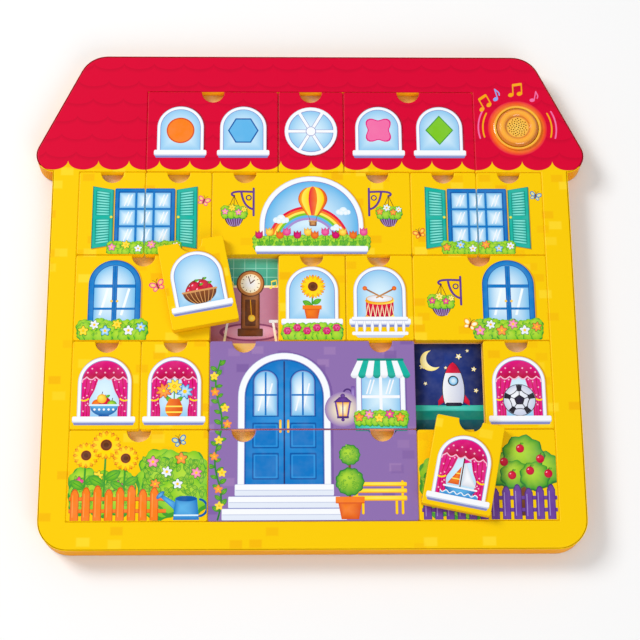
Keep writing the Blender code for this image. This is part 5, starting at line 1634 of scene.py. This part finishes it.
@motif
def picture_window(p, height, content, drapes=False):
    """White window with something standing on its ledge."""
    arched_window(p, 0, 0, 35.6, height)
    if drapes:
        curtains(p, 0, 0, 30.2, height - 2.7)
    content(p, 0, 0)
    sill(p, 0, 0.4, 41.6)


LEFT_SHUTTERS = (shutter_window, -115, -56, 6, "pink", "yellow")
RIGHT_SHUTTERS = (shutter_window, 115, -56, 7, "orange", "sky")
ROSES = [(k / 6 + 0.08, 0.5 + 0.2 * (k % 2), 2.7, "rose") for k in range(6)]
FACADE = [(climbing_plant, -62.5, -245, 108), (front_door, -19, -222), (wall_lamp, 20, -171),
          (awning_window, 45.5, -177.5), (garden_bench, 43.5, -241), (topiary, 24, -245)]

# Each tile's drawings: the function, and what it takes after the print. Some run over the tiles beside them.
TILE_DRAWINGS = {
    "roof_left": [(roof_window, -91.5, 0, oval(0, 31.5, 9.8), "orange", "rust"),
                  (roof_window, -47.5, 0, oval(0, 31.5, 10.8, count=6), "sky", "deep")],
    "roof_centre": [(round_window, 0, 31, 18.5)],
    "roof_right": [(roof_window, 47.5, 0, oval(0, 32, 9.4, turn=45, waves=4, depth=0.2), "pink", "magenta"),
                   (roof_window, 90.5, 0, np.array([(0, 43.4), (-9.9, 32), (0, 20.6), (9.9, 32), (0, 43.4)]),
                    "leaf", "green")],
    "upper_1": [LEFT_SHUTTERS],
    "upper_2": [LEFT_SHUTTERS, (butterfly, -74.5, -22, 4.6, -20, "pink", "magenta")],
    "upper_3": [(wide_window, 0, -53), (tulip_box, 0, -56.5),
                (hanging_basket, -53.5, -31, -1, 21, "pink", "yellow"),
                (hanging_basket, 53.5, -31, 1, 22, "orange", "white")],
    "upper_4": [RIGHT_SHUTTERS, (butterfly, 74.5, -46, 4.6, 20)],
    "upper_5": [RIGHT_SHUTTERS, (butterfly, 156, -18, 4.4, -16, "sky", "deep")],
    "middle_1": [(blue_window, -134, -116, 31, "yellow", "sky"),
                 (butterfly, -105, -84, 5.4, 24, "pink", "magenta"),
                 (hanging_basket, -80.5, -99, 1, 34, "orange", "white")],
    "middle_2": [(picture_window, -46, -108, 38, apple_basket)],
    "middle_3": [(picture_window, 0, -108, 38, potted_sunflower), (bush, -20, 20, -121.6, -110.8, 41, ROSES)],
    "middle_4": [(picture_window, 46, -108, 38, toy_drum), (balcony, 46, -119.6)],
    "middle_5": [(blue_window, 134, -116, 32, "pink", "orange"),
                 (hanging_basket, 88, -96, -1, 33, "magenta", "sun"),
                 (butterfly, 107, -112, 5.0, -20, "sun", "orange", "white")],
    "lower_1": [(picture_window, -138.6, -176, 41.5, fruit_bowl, True)],
    "lower_2": [(picture_window, -92.2, -176, 41.5, flower_vase, True)],
    "lower_3": FACADE,
    "lower_4": [(picture_window, 92, -176, 41.5, sail_boat, True)],
    "lower_5": [(picture_window, 138.2, -176, 41.5, football, True)],
    "ground_left": [
        (bush, -112, -70, -236, -199, 12,
         [(0.16, 0.8, 3.2, "pink"), (0.38, 0.62, 3.0, "white"), (0.6, 0.86, 3.3, "orange"),
          (0.84, 0.6, 3.0, "pink"), (0.55, 0.4, 2.8, "white"), (0.2, 0.4, 2.8, "orange")]),
        (bush, -159, -118, -238, -212, 13,
         [(0.14, 0.7, 2.9, "magenta"), (0.44, 0.85, 2.9, "yellow"), (0.76, 0.6, 2.8, "magenta")]),
        (sunflower, -150, -234, 32, 7.2), (sunflower, -137, -234, 39, 8.0), (sunflower, -124, -234, 30, 7.0),
        (fence, -159.4, -96, "orange", "rust", "ffa04a"), (watering_can, -83, -245),
        (butterfly, -88, -192.5, 5.0, 18, "sky", "deep")],
    "ground_door": FACADE,
    "ground_right": [
        (apple_tree, 139, -243),
        (bush, 72, 114, -238, -204, 15,
         [(0.2, 0.8, 3.1, "pink"), (0.45, 0.7, 3.0, "yellow"), (0.75, 0.85, 3.1, "white")]),
        (fence, 71, 160, "purple", "plum", "violet")],
}
TILE_SLOTS = {"roof": "wood_red", "lower_3": "wood_purple", "ground_door": "wood_purple"}


def print_tiles(row):
    """The prints of one row's tiles."""
    for name, drawings in TILE_DRAWINGS.items():
        if not name.startswith(row):
            continue
        slot = TILE_SLOTS.get(row, TILE_SLOTS.get(name, "wood_yellow"))
        p = Print(f"print_{name}", f"tile_{name}", slot, tile=name)
        for drawing, *given in drawings:
            drawing(p, *given)
        p.finish()


class BuildStudio(bpy.types.Operator):
    """Floor, lamps, even light and camera"""

    bl_idname = "house_puzzle.studio"
    bl_label = "Studio"

    def execute(self, context):
        build_studio()
        return {"FINISHED"}


class DressBoards(bpy.types.Operator):
    """Print and edge film on the front frame, and the picture and fibreboard behind it"""

    bl_idname = "house_puzzle.boards"
    bl_label = "Boards"

    def execute(self, context):
        dress(house_paper("house_print"), "front_frame")
        dress(floor_paper(), "picture_board")
        dress(fibreboard(), "back_board", "core_board")
        dress(edge_film(), "edge_wrap")
        return {"FINISHED"}


class DressTiles(bpy.types.Operator):
    """Print and edges of the twenty-one tiles"""

    bl_idname = "house_puzzle.tiles"
    bl_label = "Tiles"

    def execute(self, context):
        dress(bpy.data.materials["house_print"], *[f"tile_{name}" for name in CELLS if name not in LOOSE])
        for name in LOOSE:
            dress(house_paper(f"house_print_{name}", name), f"tile_{name}")
        return {"FINISHED"}


class DressSoundModule(bpy.types.Operator):
    """Plastics, metals and wires of the sound module inside the board"""

    bl_idname = "house_puzzle.sound_module"
    bl_label = "Sound module"

    def execute(self, context):
        dress(plastic("module_grey", linear("d9d8d2"), 0.45), "module_housing", "speaker_carrier",
              "switch_plunger", "battery_door")
        dress(plastic("module_black", linear("1d1c20"), 0.5), "sound_chip", "switch_body")
        dress(metal("plain_steel", "b9bcc2", 0.28, (60.0, 60.0, 3000.0)), "speaker_magnet", "speaker_frame",
              "pcb_screw_left", "pcb_screw_right", "battery_door_screw",
              "battery_cell_1", "battery_cell_2", "battery_cell_3")
        dress(metal("sheet_brass", "d8ab55", 0.3, (2600.0, 60.0, 60.0)), "contact_plus", "contact_minus",
              "contact_link_top", "contact_link_door")
        dress(circuit_face(), "circuit_board")
        dress(paper_cone(), "speaker_cone")
        for tone, value in (("red", "b3121d"), ("black", "1a191c")):
            dress(plastic(f"wire_sleeve_{tone}", linear(value), 0.45), f"battery_wire_{tone}")
        return {"FINISHED"}


class WindSpring(bpy.types.Operator):
    """Return spring and speaker leads"""

    bl_idname = "house_puzzle.spring"
    bl_label = "Spring and leads"

    def execute(self, context):
        wind_spring()
        bend_leads()
        return {"FINISHED"}


class DressButton(bpy.types.Operator):
    """Glossy cap and ring of the sound button"""

    bl_idname = "house_puzzle.button"
    bl_label = "Button"

    def execute(self, context):
        settings = context.scene.sound_button
        # Painted shade at the collar's inner groove and a painted highlight on its crown, by radius in mm
        rings = [(13.6, "c65f06"), (14.4, "fb9a10"), (15.4, "ffd03a"), (16.4, "ffa81c"), (17.2, "f07a10")]
        dress(painted_ring_shading("bezel_gloss", settings.bezel_orange, 0.8, rings), "bezel_collar")
        # Painted shade round the grille and at the cap's edge, and painted highlights on its middle and
        # crown, by radius in mm
        rings = [(0.0, "ffcf52"), (7.2, "ffbe38"), (8.4, "d9750c"), (9.2, "fb9a12"), (11.0, "ffb020"),
                 (12.6, "fb9e14"), (13.9, "c96408")]
        dress(painted_ring_shading("cap_gloss", settings.cap_yellow, 1.0, rings), "button_cap")
        return {"FINISHED"}


class PrintBoards(bpy.types.Operator):
    """Disc and notes round the button, and the pictures under the two tiles that are out"""

    bl_idname = "house_puzzle.board_prints"
    bl_label = "Board prints"

    def execute(self, context):
        surround = Print("print_button_surround", "board", "wood_red", area=(-190, -265, 190, 88))
        button_surround(surround, *SOUND)
        surround.finish()
        for tile, name, drawing in (("middle_2", "picture_music_room", music_room),
                                    ("lower_4", "picture_night_room", night_room)):
            left, low, right, high = area = cell_area(tile, 0.2)
            picture = Print(name, "board", "picture", face=FLOOR_FACE, area=area)
            drawing(picture, left, low, right - left, high - low)
            picture.finish()
        return {"FINISHED"}


class PrintRoof(bpy.types.Operator):
    """Windows of the roof tiles"""

    bl_idname = "house_puzzle.roof_prints"
    bl_label = "Roof prints"

    def execute(self, context):
        print_tiles("roof")
        return {"FINISHED"}


class PrintUpper(bpy.types.Operator):
    """Windows, baskets and butterflies of the upper row"""

    bl_idname = "house_puzzle.upper_prints"
    bl_label = "Upper row prints"

    def execute(self, context):
        print_tiles("upper")
        return {"FINISHED"}


class PrintMiddle(bpy.types.Operator):
    """Windows and toys of the middle row"""

    bl_idname = "house_puzzle.middle_prints"
    bl_label = "Middle row prints"

    def execute(self, context):
        print_tiles("middle")
        return {"FINISHED"}


class PrintLower(bpy.types.Operator):
    """Curtained windows and the facade's upper half"""

    bl_idname = "house_puzzle.lower_prints"
    bl_label = "Lower row prints"

    def execute(self, context):
        print_tiles("lower")
        return {"FINISHED"}


class PrintGround(bpy.types.Operator):
    """Gardens and the facade's lower half"""

    bl_idname = "house_puzzle.ground_prints"
    bl_label = "Ground row prints"

    def execute(self, context):
        print_tiles("ground")
        return {"FINISHED"}


OPERATORS = (BuildStudio, DressBoards, DressTiles, DressSoundModule, WindSpring, DressButton, PrintBoards,
             PrintRoof, PrintUpper, PrintMiddle, PrintLower, PrintGround)
SETTINGS = {"house_print": HousePrintSettings, "sound_button": SoundButtonSettings, "studio": StudioSettings}


class HousePuzzlePanel(bpy.types.Panel):
    """Lists the sizes, the colours and the operators"""

    bl_idname = "VIEW3D_PT_house_puzzle"
    bl_label = "House Puzzle"
    bl_space_type = "VIEW_3D"
    bl_region_type = "UI"
    bl_category = "House Puzzle"

    def draw(self, context):
        for made in OPERATORS:
            self.layout.operator(made.bl_idname)
        for group, kind in SETTINGS.items():
            for name in kind.__annotations__:
                self.layout.prop(getattr(context.scene, group), name)


CLASSES = (*SETTINGS.values(), *OPERATORS, HousePuzzlePanel)


def register():
    """Adds the classes and the three groups of settings."""
    for made in CLASSES:
        bpy.utils.register_class(made)
    for group, kind in SETTINGS.items():
        setattr(bpy.types.Scene, group, PointerProperty(type=kind))


def unregister():
    """Takes them away again."""
    for group in SETTINGS:
        delattr(bpy.types.Scene, group)
    for made in reversed(CLASSES):
        bpy.utils.unregister_class(made)


def main():
    """Runs the operators in order."""
    register()
    for made in OPERATORS:
        group, name = made.bl_idname.split(".")
        getattr(getattr(bpy.ops, group), name)()


if __name__ == "__main__":
    main()
